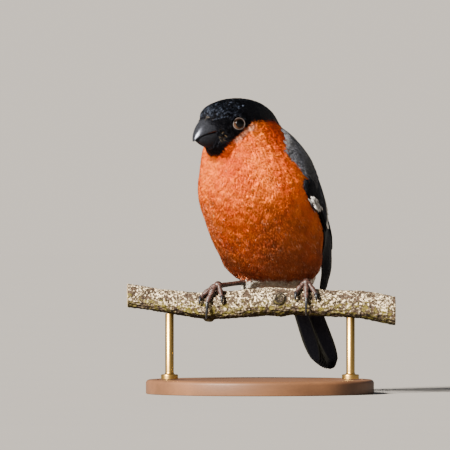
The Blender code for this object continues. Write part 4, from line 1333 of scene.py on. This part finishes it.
def eye_finish():
    """A wet living eye: a black pupil and brown iris under a clear, mirror-smooth cornea. The iris is told
    by the angle from the eye's own axis, kept in its UV map, and is painted darker above, as shade from the
    brow."""
    made, tree, shader = finish("eye_wet", {
        "Roughness": 0.3, "Specular IOR Level": 0.02, "Coat Weight": 1.0, "Coat Roughness": 0.02,
        "Coat IOR": 1.16,
    })
    polar = add_node(tree, "ShaderNodeUVMap", uv_map="UVMap").outputs["UV"]
    parts = add_node(tree, "ShaderNodeSeparateXYZ", {"Vector": polar})
    pupil, iris = PUPIL_ANGLE / math.pi, IRIS_ANGLE / math.pi
    brown = settings("horn").iris
    black, dark = (0.002, 0.002, 0.002, 1), shaded(brown, 0.3)
    shade = add_node(tree, "ShaderNodeValToRGB", {"Fac": parts.outputs["Y"]}, (
        (0.0, black), (pupil - 0.006, black), (pupil + 0.006, dark),
        (mix(pupil, iris, 0.55), shaded(brown)), (iris - 0.02, shaded(brown, 1.7)), (iris, dark),
        (1.0, (0.004, 0.003, 0.003, 1)),
    )).outputs["Color"]
    spoke = add_node(tree, "ShaderNodeCombineXYZ", {"X": parts.outputs["X"]}).outputs["Vector"]
    rays = add_node(tree, "ShaderNodeTexNoise", {"Vector": spoke, "Scale": 60.0, "Detail": 3.0})
    shade = scaled(tree, shade, rays.outputs["Fac"], 0.7, 1.3)
    # Painted shade: the colour is darkened where the normal faces up, standing in for the brow's shadow.
    normal = add_node(tree, "ShaderNodeNewGeometry").outputs["Normal"]
    upward = add_node(tree, "ShaderNodeSeparateXYZ", {"Vector": normal}).outputs["Z"]
    below = add_node(tree, "ShaderNodeMapRange", {"Value": upward, "From Min": 0.35, "From Max": -0.3})
    tree.links.new(scaled(tree, shade, below.outputs["Result"], 0.22, 1.25), shader.inputs["Base Color"])
    return made


class BULLFINCH_OT_eyes(bpy.types.Operator):
    """Set the eyes and the pale beaded ring of lid round each"""

    bl_idname = "bullfinch.eyes"
    bl_label = "Set the eyes"

    def execute(self, context):
        wet = eye_finish()
        lid, tree, shader = finish("lid_skin", {"Roughness": 0.5, "Specular IOR Level": 0.5})
        beads = grain(tree, 0.35)
        shade = add_node(
            tree, "ShaderNodeValToRGB", {"Fac": beads}, ((0.3, colour("#241F1D")), (0.7, colour("#594F4B")))
        )
        tree.links.new(shade.outputs["Color"], shader.inputs["Base Color"])
        bump = add_node(tree, "ShaderNodeBump", {"Height": beads, "Distance": 0.06 * MM})
        tree.links.new(bump.outputs["Normal"], shader.inputs["Normal"])
        for side, label in ((1, "left"), (-1, "right")):
            centre, turn = eye_frame(side)
            matrix = np.array(turn)

            def globe(angle, share):
                tilt = share * math.pi
                swell = 0.16 * (1 - step(tilt, 0.5, 1.1))
                radius = (EYE_RADIUS - 0.15 + swell) * MM
                flat = np.sin(tilt)
                local = np.stack((flat * np.cos(angle), flat * np.sin(angle), np.cos(tilt)), -1)
                return local * radius[:, None] @ matrix.T + np.array(centre)

            bm = bmesh.new()
            wrap(bm, 48, 40, globe)
            piece(f"eye_{label}_globe", mesh_of(bm), [wet], ("eye_" + label,))

            def ring(angle, share):
                a = share * 2 * math.pi
                bead = 1 + 0.06 * np.sin(angle * 34)
                squeeze = 1 - 0.05 * np.abs(np.sin(angle))
                radius = (LID_RADIUS * squeeze + 0.19 * np.cos(a) * bead) * MM
                height = (LID_REACH + 0.22 * np.sin(a) * bead - 0.12 * np.cos(a)) * MM
                local = np.stack((radius * np.cos(angle), radius * np.sin(angle), height), -1)
                return local @ matrix.T + np.array(centre)

            bm = bmesh.new()
            wrap(bm, 104, 12, ring)
            piece(f"lid_{label}", mesh_of(bm), [lid])
        return {"FINISHED"}


# Branch


@cache
def branch():
    """The branch's course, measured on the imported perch: place along X, centre height and radius. The
    slanting cuts make the two end readings useless, so the course is drawn on to the ends."""
    tree = tree_of("perch")
    low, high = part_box("perch")
    places = np.linspace(low.x + 0.4 * MM, high.x - 0.4 * MM, 27)
    heights, radii = [], []
    guess = (PERCH_TOP - 6.2) * MM
    for x in places:
        lower = tree.ray_cast(Vector((x, GRIP_Y * MM, -0.1)), Vector((0, 0, 1)))[0]
        upper = tree.ray_cast(Vector((x, GRIP_Y * MM, 0.2)), Vector((0, 0, -1)))[0]
        if lower is None or upper is None:
            heights.append(heights[-1] if heights else guess)
            radii.append(radii[-1] if radii else 6 * MM)
            continue
        front = tree.ray_cast(Vector((x, -0.1, (lower.z + upper.z) / 2)), Vector((0, 1, 0)))[0]
        radii.append(GRIP_Y * MM - front.y)
        heights.append(upper.z - radii[-1])
    for end, near, far in ((0, 1, 2), (-1, -2, -3)):
        radii[end] = radii[near]
        heights[end] = 2 * heights[near] - heights[far]
    return {
        "x": places, "height": np.array(heights), "radius": np.array(radii), "low": low.x, "high": high.x,
    }


def branch_point(x, turn, lift):
    """World points over the bark at x in metres, turn from the top over the front, and lift."""
    course = branch()
    reach = np.interp(x, course["x"], course["radius"]) + lift
    height = np.interp(x, course["x"], course["height"])
    return np.stack((x, GRIP_Y * MM - np.sin(turn) * reach, height + np.cos(turn) * reach), -1)


def bark_relief(x, turn, relief):
    """How far the bark stands out at places along the branch and turns round it, in metres."""
    course = branch()
    radius = np.interp(x, course["x"], course["radius"])
    values = np.zeros(len(x))
    for k, (place, angle, around) in enumerate(zip(x / MM, turn, radius / MM)):
        point = Vector((place, math.cos(angle) * around, math.sin(angle) * around))
        wide = noise.noise(Vector((point.x / 9, point.y / 5, point.z / 5)))
        ridges = noise.noise(Vector((point.x / 2.6, point.y / 0.9, point.z / 0.9)) + Vector((7, 3, 1)))
        crust = noise.noise(Vector((point.x / 0.9, point.y / 0.9, point.z / 0.9)) + Vector((2, 9, 4)))
        values[k] = 1.1 * wide + 0.7 * ridges + 0.9 * crust
    values *= relief
    for knot, collar in ((KNOT, 0.9), (SPUR, 1.3)):
        around = (turn - knot["turn"] + math.pi) % (2 * math.pi) - math.pi
        apart = np.hypot(x / MM - knot["x"], around * radius / MM) / knot["radius"]
        ring = collar * np.exp(-(((apart - 0.72) / 0.3) ** 2)) - 0.35 * np.exp(-((apart / 0.4) ** 2))
        swell = 0.5 * np.exp(-((apart / 1.1) ** 2))
        values = values * step(apart, 0.6, 1.4) + (ring + swell) * MM * (1 if knot is KNOT else 0.8)
    return values


def bark_finish():
    """Smooth young bark, grey-brown, speckled with pale crusts of lichen about 0.6 mm across, with a
    yellow-green film of algae on the lower front, and the underside painted darker as shade."""
    perch = settings("perch")
    made, tree, shader = finish("lichened_bark", {"Roughness": 0.9, "Specular IOR Level": 0.2})
    normal = add_node(tree, "ShaderNodeNewGeometry").outputs["Normal"]
    upward = add_node(tree, "ShaderNodeSeparateXYZ", {"Vector": normal}).outputs["Z"]
    wide, speck, spots = grain(tree, 4.5, 4, 0.6), grain(tree, 1.15, 3, 0.65), grain(tree, 2.4, 4, 0.65)
    patches = add_node(tree, "ShaderNodeMath", {0: wide, 1: 0.6, 2: speck}, operation="MULTIPLY_ADD")
    crusted, above, filmed, below, painted_underside_shade = (
        add_node(
            tree, "ShaderNodeMapRange", {"Value": value, "From Min": low, "From Max": high, "To Min": least}
        ).outputs["Result"]
        for value, low, high, least in (
            (patches.outputs[0], 0.74, 0.8, 0.0), (upward, -0.8, 0.0, 0.0), (spots, 0.47, 0.58, 0.0),
            (upward, 0.25, -0.3, 0.0), (upward, -0.95, -0.45, 0.2),
        )
    )
    crust, film = (
        add_node(tree, "ShaderNodeMath", {0: a, 1: b}, operation="MULTIPLY").outputs[0]
        for a, b in ((crusted, above), (filmed, below))
    )
    film = add_node(tree, "ShaderNodeMath", {0: film, 1: 0.75}, operation="MULTIPLY").outputs[0]
    shade, pale = (
        add_node(tree, "ShaderNodeValToRGB", {"Fac": factor}, stops).outputs["Color"]
        for factor, stops in (
            (grain(tree, 1.3, 5, 0.7), (
                (0.36, shaded(perch.bark, 0.1)), (0.5, shaded(perch.bark, 0.7)),
                (0.66, shaded(perch.bark, 1.5)),
            )),
            (grain(tree, 0.85, 2, 0.6), (
                (0.42, shaded(perch.lichen, 0.06)), (0.5, shaded(perch.lichen, 0.85)),
                (0.58, colour("#D2C3A4")),
            )),
        )
    )
    for share, cover in ((crust, pale), (film, shaded(perch.algae))):
        shade = add_node(
            tree, "ShaderNodeMix", {"Factor": share, "A": shade, "B": cover}, data_type="RGBA"
        ).outputs["Result"]
    clean = add_node(tree, "ShaderNodeAttribute", attribute_name="coat").outputs["Alpha"]
    shade = add_node(
        tree, "ShaderNodeMix", {"Factor": clean, "A": colour("#14100C"), "B": shade}, data_type="RGBA"
    ).outputs["Result"]
    # Painted shade: the colour is darkened towards the underside, where the normal faces down.
    wet = add_node(tree, "ShaderNodeVectorMath", {0: shade, "Scale": painted_underside_shade}, operation="SCALE")
    tree.links.new(wet.outputs["Vector"], shader.inputs["Base Color"])
    height = add_node(tree, "ShaderNodeMath", {0: crust, 1: 0.5, 2: speck}, operation="MULTIPLY_ADD")
    bump = add_node(tree, "ShaderNodeBump", {"Height": height.outputs[0], "Distance": 0.5 * MM})
    tree.links.new(bump.outputs["Normal"], shader.inputs["Normal"])
    return made


def cut_finish():
    """Sawn end of a branch: pale wood with close growth rings about its middle."""
    made, tree, shader = finish("sawn_wood", {"Roughness": 0.75, "Specular IOR Level": 0.3})
    uv = add_node(tree, "ShaderNodeUVMap", uv_map="UVMap").outputs["UV"]
    inward = add_node(tree, "ShaderNodeSeparateXYZ", {"Vector": uv}).outputs["Y"]
    wobble = grain(tree, 3.0)
    rings = add_node(
        tree, "ShaderNodeMath", {0: wobble, 1: 0.009, 2: inward}, operation="MULTIPLY_ADD"
    ).outputs[0]
    turns = add_node(
        tree, "ShaderNodeMath", {0: rings, 1: 2 * math.pi * CUT_RINGS / CUT_SHARE}, operation="MULTIPLY"
    )
    wave = add_node(tree, "ShaderNodeMath", {0: turns.outputs[0]}, operation="SINE").outputs[0]
    tone = add_node(tree, "ShaderNodeMapRange", {"Value": wave, "From Min": -1.0}).outputs["Result"]
    shade = add_node(tree, "ShaderNodeValToRGB", {"Fac": tone}, (
        (0.0, colour("#A5845A")), (0.7, colour("#C9AC80")), (1.0, colour("#D8BF96")),
    ))
    tree.links.new(shade.outputs["Color"], shader.inputs["Base Color"])
    sawn = grain(tree, 0.5, stretch=(1, 1, 0.2))
    bump = add_node(tree, "ShaderNodeBump", {"Height": sawn, "Distance": 0.08 * MM})
    tree.links.new(bump.outputs["Normal"], shader.inputs["Normal"])
    return made


class BULLFINCH_OT_branch(bpy.types.Operator):
    """Model the cut length of lichened branch"""

    bl_idname = "bullfinch.branch"
    bl_label = "Model the branch"

    def execute(self, context):
        course = branch()
        relief = settings("perch").relief

        def place(turn, share):
            inner = np.clip((share - CUT_SHARE) / (1 - 2 * CUT_SHARE), 0, 1)
            x = mix(course["low"], course["high"], inner)
            out = bark_relief(x, turn, relief) - relief * 0.9
            points = branch_point(x, turn, out)
            closing = np.clip(np.minimum(share, 1 - share) / CUT_SHARE, 0, 1)
            closing = np.where(closing >= 1, 1.0, closing * 0.96)
            middle = branch_point(x, turn, -np.interp(x, course["x"], course["radius"]))
            return middle + (points - middle) * closing[:, None]

        bm = bmesh.new()
        wrap(bm, 112, 260, place)
        for face in bm.faces:
            uv = [loop[bm.loops.layers.uv.active].uv.y for loop in face.loops]
            if max(uv) < CUT_SHARE + 0.001 or min(uv) > 1 - CUT_SHARE - 0.001:
                face.material_index = 1
        made = piece("branch_bark", mesh_of(bm), [bark_finish(), cut_finish()], ("perch",))
        places = read_points(made.data)
        up = places[:, 2] - np.interp(places[:, 0], course["x"], course["height"])
        turn = np.arctan2(GRIP_Y * MM - places[:, 1], up)
        apart = np.hypot(places[:, 0] / MM - KNOT["x"], (turn - KNOT["turn"]) * 6) / KNOT["radius"]
        apart = apart + 0.08 * ripple(places / MM, 2, 71)
        scar = (1 - step(apart, 0.7, 1.0)) * (0.93 + 0.45 * ripple(places / MM, 0.6, 72))
        collar = 0.92 * (1 - step(np.abs(apart - 1.15), 0.08, 0.26))
        values = np.ones((len(places), 4))
        values[:, 3] = 1 - np.clip(scar + collar, 0, 1)
        fill_colours(made.data, values)
        return {"FINISHED"}


# Feet


def limb(bm, points, radii, around, along, shape=None):
    """A closed round limb through world points, its thickness given at each, shaped by
    shape(turn, share), turn 0 on the side away from the branch."""
    heart = Vector((0, GRIP_Y * MM, branch()["height"].mean()))

    def place(turn, share):
        inner = np.clip((share - 0.04) / 0.92, 0, 1)
        centre = curve_through(points, inner)
        ahead = unit(curve_through(points, inner + 0.02) - curve_through(points, inner - 0.02))
        radius = curve_through(np.asarray(radii)[:, None], inner)[:, 0]
        out = centre - np.array((0, heart.y, heart.z)) * (0, 1, 1)
        out[:, 0] = 0
        up = unit(out - ahead * np.sum(out * ahead, axis=1, keepdims=True))
        across = np.cross(ahead, up)
        ends = np.sqrt(np.clip(np.minimum(share, 1 - share) / 0.04, 0, 1))
        if shape is not None:
            radius = radius * shape(turn, inner)
        radius = (radius * ends)[:, None]
        return centre + (up * np.cos(turn)[:, None] + across * np.sin(turn)[:, None]) * radius

    wrap(bm, around, along, place)


def scutes(count, depth, pads):
    """Bands of scale over the top of a limb and soft pads below it."""

    def shape(turn, share):
        top = step(np.cos(turn), -0.3, 0.4)
        band = np.abs(np.sin(math.pi * share * count)) ** 0.45
        pad = np.abs(np.sin(math.pi * share * pads)) ** 0.7 if pads else 1.0
        return 1 + depth * (band - 0.7) * top + 0.12 * (pad - 0.5) * (1 - top)

    return shape


def toe_points(foot, name):
    """World points of a toe and of its claw, bent over the branch, in metres."""
    bend, claw_bend, size = TOES[name]
    drift = foot["drift"][list(TOES).index(name)]
    turn, sweep = math.radians(foot["turn"]), math.radians(bend)
    share = np.linspace(0, 1, 9)
    x = (foot["x"] + drift * share**0.6) * MM
    hump = 1.3 * np.exp(-((share / 0.3) ** 2))
    lift = (TOE_RADIUS * size * (1 - 0.25 * share) + hump) * MM
    toe = branch_point(x, turn + sweep * share, lift)
    share = np.linspace(0, 1, 8)
    x = (foot["x"] + drift * (1 + 0.08 * share)) * MM
    angle = turn + sweep + math.radians(claw_bend) * (share - 0.1)
    arch = 0.9 * np.sin(math.pi * share)
    claw = branch_point(x, angle, (CLAW_RADIUS * (1 - 0.75 * share) + arch) * MM)
    return toe, claw


def foot_finish():
    """Bare scaled skin: dry plates with a dull gloss."""
    made, tree, shader = finish("scaled_skin", {"Roughness": 0.5, "Specular IOR Level": 0.5})
    base = settings("horn").foot
    shade = add_node(tree, "ShaderNodeValToRGB", {"Fac": grain(tree, 0.9, 4)}, (
        (0.3, shaded(base, 0.4)), (0.55, shaded(base)), (0.78, colour("#6E5148")),
    ))
    tree.links.new(shade.outputs["Color"], shader.inputs["Base Color"])
    place = add_node(tree, "ShaderNodeTexCoord").outputs["Object"]
    cells = add_node(tree, "ShaderNodeTexVoronoi", {"Vector": place, "Scale": 1 / (0.45 * MM)})
    plates = cells.outputs["Distance"]
    bump = add_node(tree, "ShaderNodeBump", {"Height": plates, "Distance": 0.05 * MM, "Strength": 0.6})
    tree.links.new(bump.outputs["Normal"], shader.inputs["Normal"])
    return made


class BULLFINCH_OT_feet(bpy.types.Operator):
    """Model the scaled legs, the toes that grip the branch, and the claws"""

    bl_idname = "bullfinch.feet"
    bl_label = "Model the feet"

    def execute(self, context):
        skin = foot_finish()
        horn = horn_finish("claw_horn", settings("horn").horn, 0.35, {"Specular IOR Level": 0.3})
        for label, foot in FEET.items():
            bm, claws = bmesh.new(), bmesh.new()
            ball = branch_point(
                np.array([foot["x"] * MM]), np.radians([foot["turn"]]), np.array([TOE_RADIUS * 1.9 * MM])
            )[0]
            heel = in_bird(foot["heel"])
            rise = heel - ball
            shin = np.array([ball + rise * s for s in (0.0, 0.12, 0.4, 0.75, 1.0, 1.2)])
            radii = np.array((1.15, 1.0, 0.86, 0.92, 1.1, 1.0)) * TARSUS_RADIUS * MM
            limb(bm, shin, radii, 28, 90, scutes(9, 0.09, 0))
            pad = np.array([ball + np.array((0, -1.6, -0.4)) * MM * s for s in (-1, 0, 1)])
            limb(bm, pad, np.full(3, TOE_RADIUS * 1.35 * MM), 24, 24)
            for name, (_, _, size) in TOES.items():
                toe, claw = toe_points(foot, name)
                share = np.linspace(0, 1, len(toe))
                knuckle = 1 + 0.17 * np.cos(2 * math.pi * share * (2.5 if name == "middle" else 2))
                radii = TOE_RADIUS * size * (1 - 0.25 * share) * knuckle * MM
                limb(bm, toe, radii, 26, 96, scutes(11, 0.15, 3.5))
                share = np.linspace(0, 1, len(claw))
                radii = CLAW_RADIUS * (1 - 0.88 * share**2.1) * MM
                limb(claws, claw, radii, 16, 30, lambda turn, s: 1 - 0.22 * np.abs(np.sin(turn)))
            piece(f"leg_{label}_scales", mesh_of(bm), [skin], ("leg_" + label,))
            piece(f"claws_{label}", mesh_of(claws), [horn])
        return {"FINISHED"}


# Stand


def turned(bm, profile, centre):
    """A turned shape: a profile of (radius, height) points spun about a vertical axis."""
    vertices = [bm.verts.new((centre[0] + r, centre[1], z)) for r, z in profile]
    edges = [bm.edges.new(pair) for pair in zip(vertices, vertices[1:])]
    bmesh.ops.spin(
        bm, geom=vertices + edges, cent=(*centre, 0), axis=(0, 0, 1), angle=2 * math.pi, steps=128,
        use_merge=True,
    )
    bmesh.ops.remove_doubles(bm, verts=bm.verts, dist=1e-7)
    bmesh.ops.recalc_face_normals(bm, faces=bm.faces)


def rounded(corner, radius, start, end, steps):
    """Points of a quarter round about a corner's centre, from angle start to end in degrees."""
    angles = np.radians(np.linspace(start, end, steps))
    return [(corner[0] + radius * math.cos(a), corner[1] + radius * math.sin(a)) for a in angles]


def wood_finish():
    """Oiled walnut, turned and sanded: long grain along X with pores, a soft satin from the oil."""
    made, tree, shader = finish(
        "oiled_walnut", {"Specular IOR Level": 0.25, "Coat Weight": 0.04, "Coat Roughness": 0.4}
    )
    wood = settings("stand").wood
    place = add_node(tree, "ShaderNodeTexCoord").outputs["Object"]
    long, fine = (
        add_node(tree, "ShaderNodeMapping", {"Vector": place, "Scale": (along, 1.0, 1.0)}).outputs["Vector"]
        for along in (0.09, 0.06)
    )
    bend, pores = (
        add_node(
            tree, "ShaderNodeTexNoise", {"Vector": run, "Scale": 1 / (size * MM), "Detail": detail}
        ).outputs["Fac"]
        for run, size, detail in ((long, 9, 3.0), (fine, 0.5, 2.0))
    )
    figure = add_node(
        tree, "ShaderNodeTexWave",
        {"Vector": long, "Scale": 1 / (70 * MM), "Distortion": 7.0, "Detail": 4.0,
         "Detail Roughness": 0.65},
        bands_direction="Y",
    ).outputs["Fac"]
    blend = add_node(tree, "ShaderNodeMath", {0: figure, 1: 0.35, 2: bend}, operation="MULTIPLY_ADD")
    shade = add_node(tree, "ShaderNodeValToRGB", {"Fac": blend.outputs[0]}, (
        (0.3, shaded(wood, 0.7)), (0.7, shaded(wood)), (1.0, shaded(wood, 1.25)),
    )).outputs["Color"]
    tree.links.new(scaled(tree, shade, pores, 0.75, 1.15), shader.inputs["Base Color"])
    rough = add_node(tree, "ShaderNodeMapRange", {"Value": pores, "To Min": 0.62, "To Max": 0.46})
    tree.links.new(rough.outputs["Result"], shader.inputs["Roughness"])
    bump = add_node(tree, "ShaderNodeBump", {"Height": pores, "Distance": 0.04 * MM, "Strength": 0.5})
    tree.links.new(bump.outputs["Normal"], shader.inputs["Normal"])
    return made


def brass_finish():
    """Drawn brass rod, brushed and left to dull a little."""
    made, tree, shader = finish("brushed_brass", {"Metallic": 1.0})
    brass = settings("stand").brass
    cloud = grain(tree, 6.0, 4)
    shade = add_node(
        tree, "ShaderNodeValToRGB", {"Fac": cloud}, ((0.3, shaded(brass, 0.75)), (0.65, shaded(brass)))
    )
    tree.links.new(shade.outputs["Color"], shader.inputs["Base Color"])
    rough = add_node(tree, "ShaderNodeMapRange", {"Value": cloud, "To Min": 0.42, "To Max": 0.24})
    tree.links.new(rough.outputs["Result"], shader.inputs["Roughness"])
    brushed = grain(tree, 0.25, stretch=(0.2, 0.2, 4))
    bump = add_node(tree, "ShaderNodeBump", {"Height": brushed, "Distance": 0.01 * MM, "Strength": 0.4})
    tree.links.new(bump.outputs["Normal"], shader.inputs["Normal"])
    return made


class BULLFINCH_OT_stand(bpy.types.Operator):
    """Turn the wooden base and the two brass rods that hold the branch"""

    bl_idname = "bullfinch.stand"
    bl_label = "Turn the stand"

    def execute(self, context):
        low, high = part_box("stand_base")
        radius, top, edge = high.x, high.z, 1.5 * MM
        foot = 0.4 * MM
        profile = [(0, 0), (radius - 2 * edge, 0)]
        profile += rounded((radius - foot, foot), foot, -90, 0, 4)
        profile += rounded((radius - edge, top - edge), edge, 0, 90, 10)
        inlay = radius - 5 * MM
        groove = ((0.4, 0.0), (0.25, 0.3), (-0.25, 0.3), (-0.4, 0.0))
        profile += [(inlay + out * MM, top - deep * MM) for out, deep in groove]
        profile += [(radius * 0.5, top), (0, top)]
        bm = bmesh.new()
        turned(bm, profile, (0, 0))
        base = piece("stand_base_wood", mesh_of(bm), [wood_finish()], ("stand_base",))
        base.data.set_sharp_from_angle(angle=math.radians(40))
        brass = brass_finish()
        for label in ("left", "right"):
            low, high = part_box("stand_rod_" + label)
            centre = ((low.x + high.x) / 2, (low.y + high.y) / 2)
            flange = (high.x - low.x) / 2
            rod = flange / 2
            rise = low.z + 2 * MM
            profile = [(0, low.z), (flange, low.z)]
            profile += rounded((flange - 0.4 * MM, rise - 0.4 * MM), 0.4 * MM, 0, 90, 6)
            profile += rounded((rod + 0.8 * MM, rise + 0.8 * MM), 0.8 * MM, 270, 180, 6)
            top = high.z + 1.0 * MM
            profile += [(rod, top - 0.2 * MM), (rod - 0.2 * MM, top), (0, top)]
            bm = bmesh.new()
            turned(bm, profile, centre)
            made = piece(f"stand_rod_{label}_brass", mesh_of(bm), [brass], ("stand_rod_" + label,))
            made.data.set_sharp_from_angle(angle=math.radians(50))
        return {"FINISHED"}


# Stage


class BULLFINCH_OT_stage(bpy.types.Operator):
    """Set up the camera, the soft light and the pale floor"""

    bl_idname = "bullfinch.stage"
    bl_label = "Set the stage"

    def execute(self, context):
        stage = settings("stage")
        camera = bpy.data.cameras.new("camera")
        camera.sensor_width = 36.0
        camera.lens = 36.0 * stage.distance / (PICTURE_WIDTH * MM)
        camera.clip_start, camera.clip_end = 0.1, 60.0
        viewer = placed("camera", camera)
        viewer.location = (PICTURE_MIDDLE[0] * MM, GRIP_Y * MM - stage.distance, PICTURE_MIDDLE[1] * MM)
        viewer.rotation_euler = (math.pi / 2, 0, 0)
        context.scene.camera = viewer
        key = bpy.data.lights.new("key", "SUN")
        key.energy = stage.key
        key.angle = math.radians(14)
        key.color = linear("#FFF6EA")
        lamp = placed("key", key)
        lamp.rotation_mode = "QUATERNION"
        way = Vector((-0.62, -0.68, 0.45)).normalized()
        lamp.rotation_quaternion = way.to_track_quat("Z", "Y")
        sky = linear("#E4E9F2")
        light = [stage.key / math.pi * way.z * k + stage.fill * s for k, s in zip(key.color, sky)]
        far = [shade * lit for shade, lit in zip(stage.floor, light)]
        world = bpy.data.worlds.new("studio")
        world.use_nodes = True
        tree = world.node_tree
        fill = tree.nodes["Background"]
        fill.inputs["Color"].default_value = (*sky, 1)
        fill.inputs["Strength"].default_value = stage.fill
        wall = add_node(tree, "ShaderNodeBackground", {"Color": (*far, 1)})
        seen = add_node(tree, "ShaderNodeLightPath").outputs["Is Camera Ray"]
        both = add_node(tree, "ShaderNodeMixShader", {0: seen, 1: fill.outputs[0], 2: wall.outputs[0]})
        tree.links.new(both.outputs[0], tree.nodes["World Output"].inputs["Surface"])
        context.scene.world = world
        made, tree, shader = finish("matt_floor", {"Roughness": 1.0, "Specular IOR Level": 0.0})
        mottle = add_node(tree, "ShaderNodeValToRGB", {"Fac": grain(tree, 60, 3)}, (
            (0.3, shaded(stage.floor, 0.98)), (0.7, shaded(stage.floor)),
        ))
        tree.links.new(mottle.outputs["Color"], shader.inputs["Base Color"])
        bm = bmesh.new()
        bmesh.ops.create_circle(bm, cap_ends=True, segments=96, radius=14.0)
        floor = placed("floor", mesh_of(bm))
        floor.data.materials.append(made)
        return {"FINISHED"}


class BULLFINCH_PT_panel(bpy.types.Panel):
    """The bird's settings and the steps that build it"""

    bl_idname = "BULLFINCH_PT_panel"
    bl_label = "Perched bullfinch"
    bl_space_type = "VIEW_3D"
    bl_region_type = "UI"
    bl_category = "Bullfinch"

    def draw(self, context):
        for operator in OPERATORS:
            self.layout.operator(operator.bl_idname)
        for group, kind in GROUPS.items():
            box = self.layout.box()
            for name in kind.__annotations__:
                box.prop(settings(group), name)


GROUPS = {
    "coat": CoatSettings,
    "vanes": VaneSettings,
    "horn": HornSettings,
    "perch": PerchSettings,
    "stand": StandSettings,
    "stage": StageSettings,
}
OPERATORS = (
    BULLFINCH_OT_stage,
    BULLFINCH_OT_skin,
    BULLFINCH_OT_coat,
    BULLFINCH_OT_wings,
    BULLFINCH_OT_tail,
    BULLFINCH_OT_bill,
    BULLFINCH_OT_eyes,
    BULLFINCH_OT_branch,
    BULLFINCH_OT_feet,
    BULLFINCH_OT_stand,
)


def register():
    for kind in (*GROUPS.values(), *OPERATORS, BULLFINCH_PT_panel):
        bpy.utils.register_class(kind)
    for group, kind in GROUPS.items():
        setattr(bpy.types.Scene, "bullfinch_" + group, bpy.props.PointerProperty(type=kind))


def unregister():
    for group in GROUPS:
        delattr(bpy.types.Scene, "bullfinch_" + group)
    for kind in reversed((*GROUPS.values(), *OPERATORS, BULLFINCH_PT_panel)):
        bpy.utils.unregister_class(kind)


def main():
    register()
    for operator in OPERATORS:
        group, name = operator.bl_idname.split(".")
        getattr(getattr(bpy.ops, group), name)()


if __name__ == "__main__":
    main()
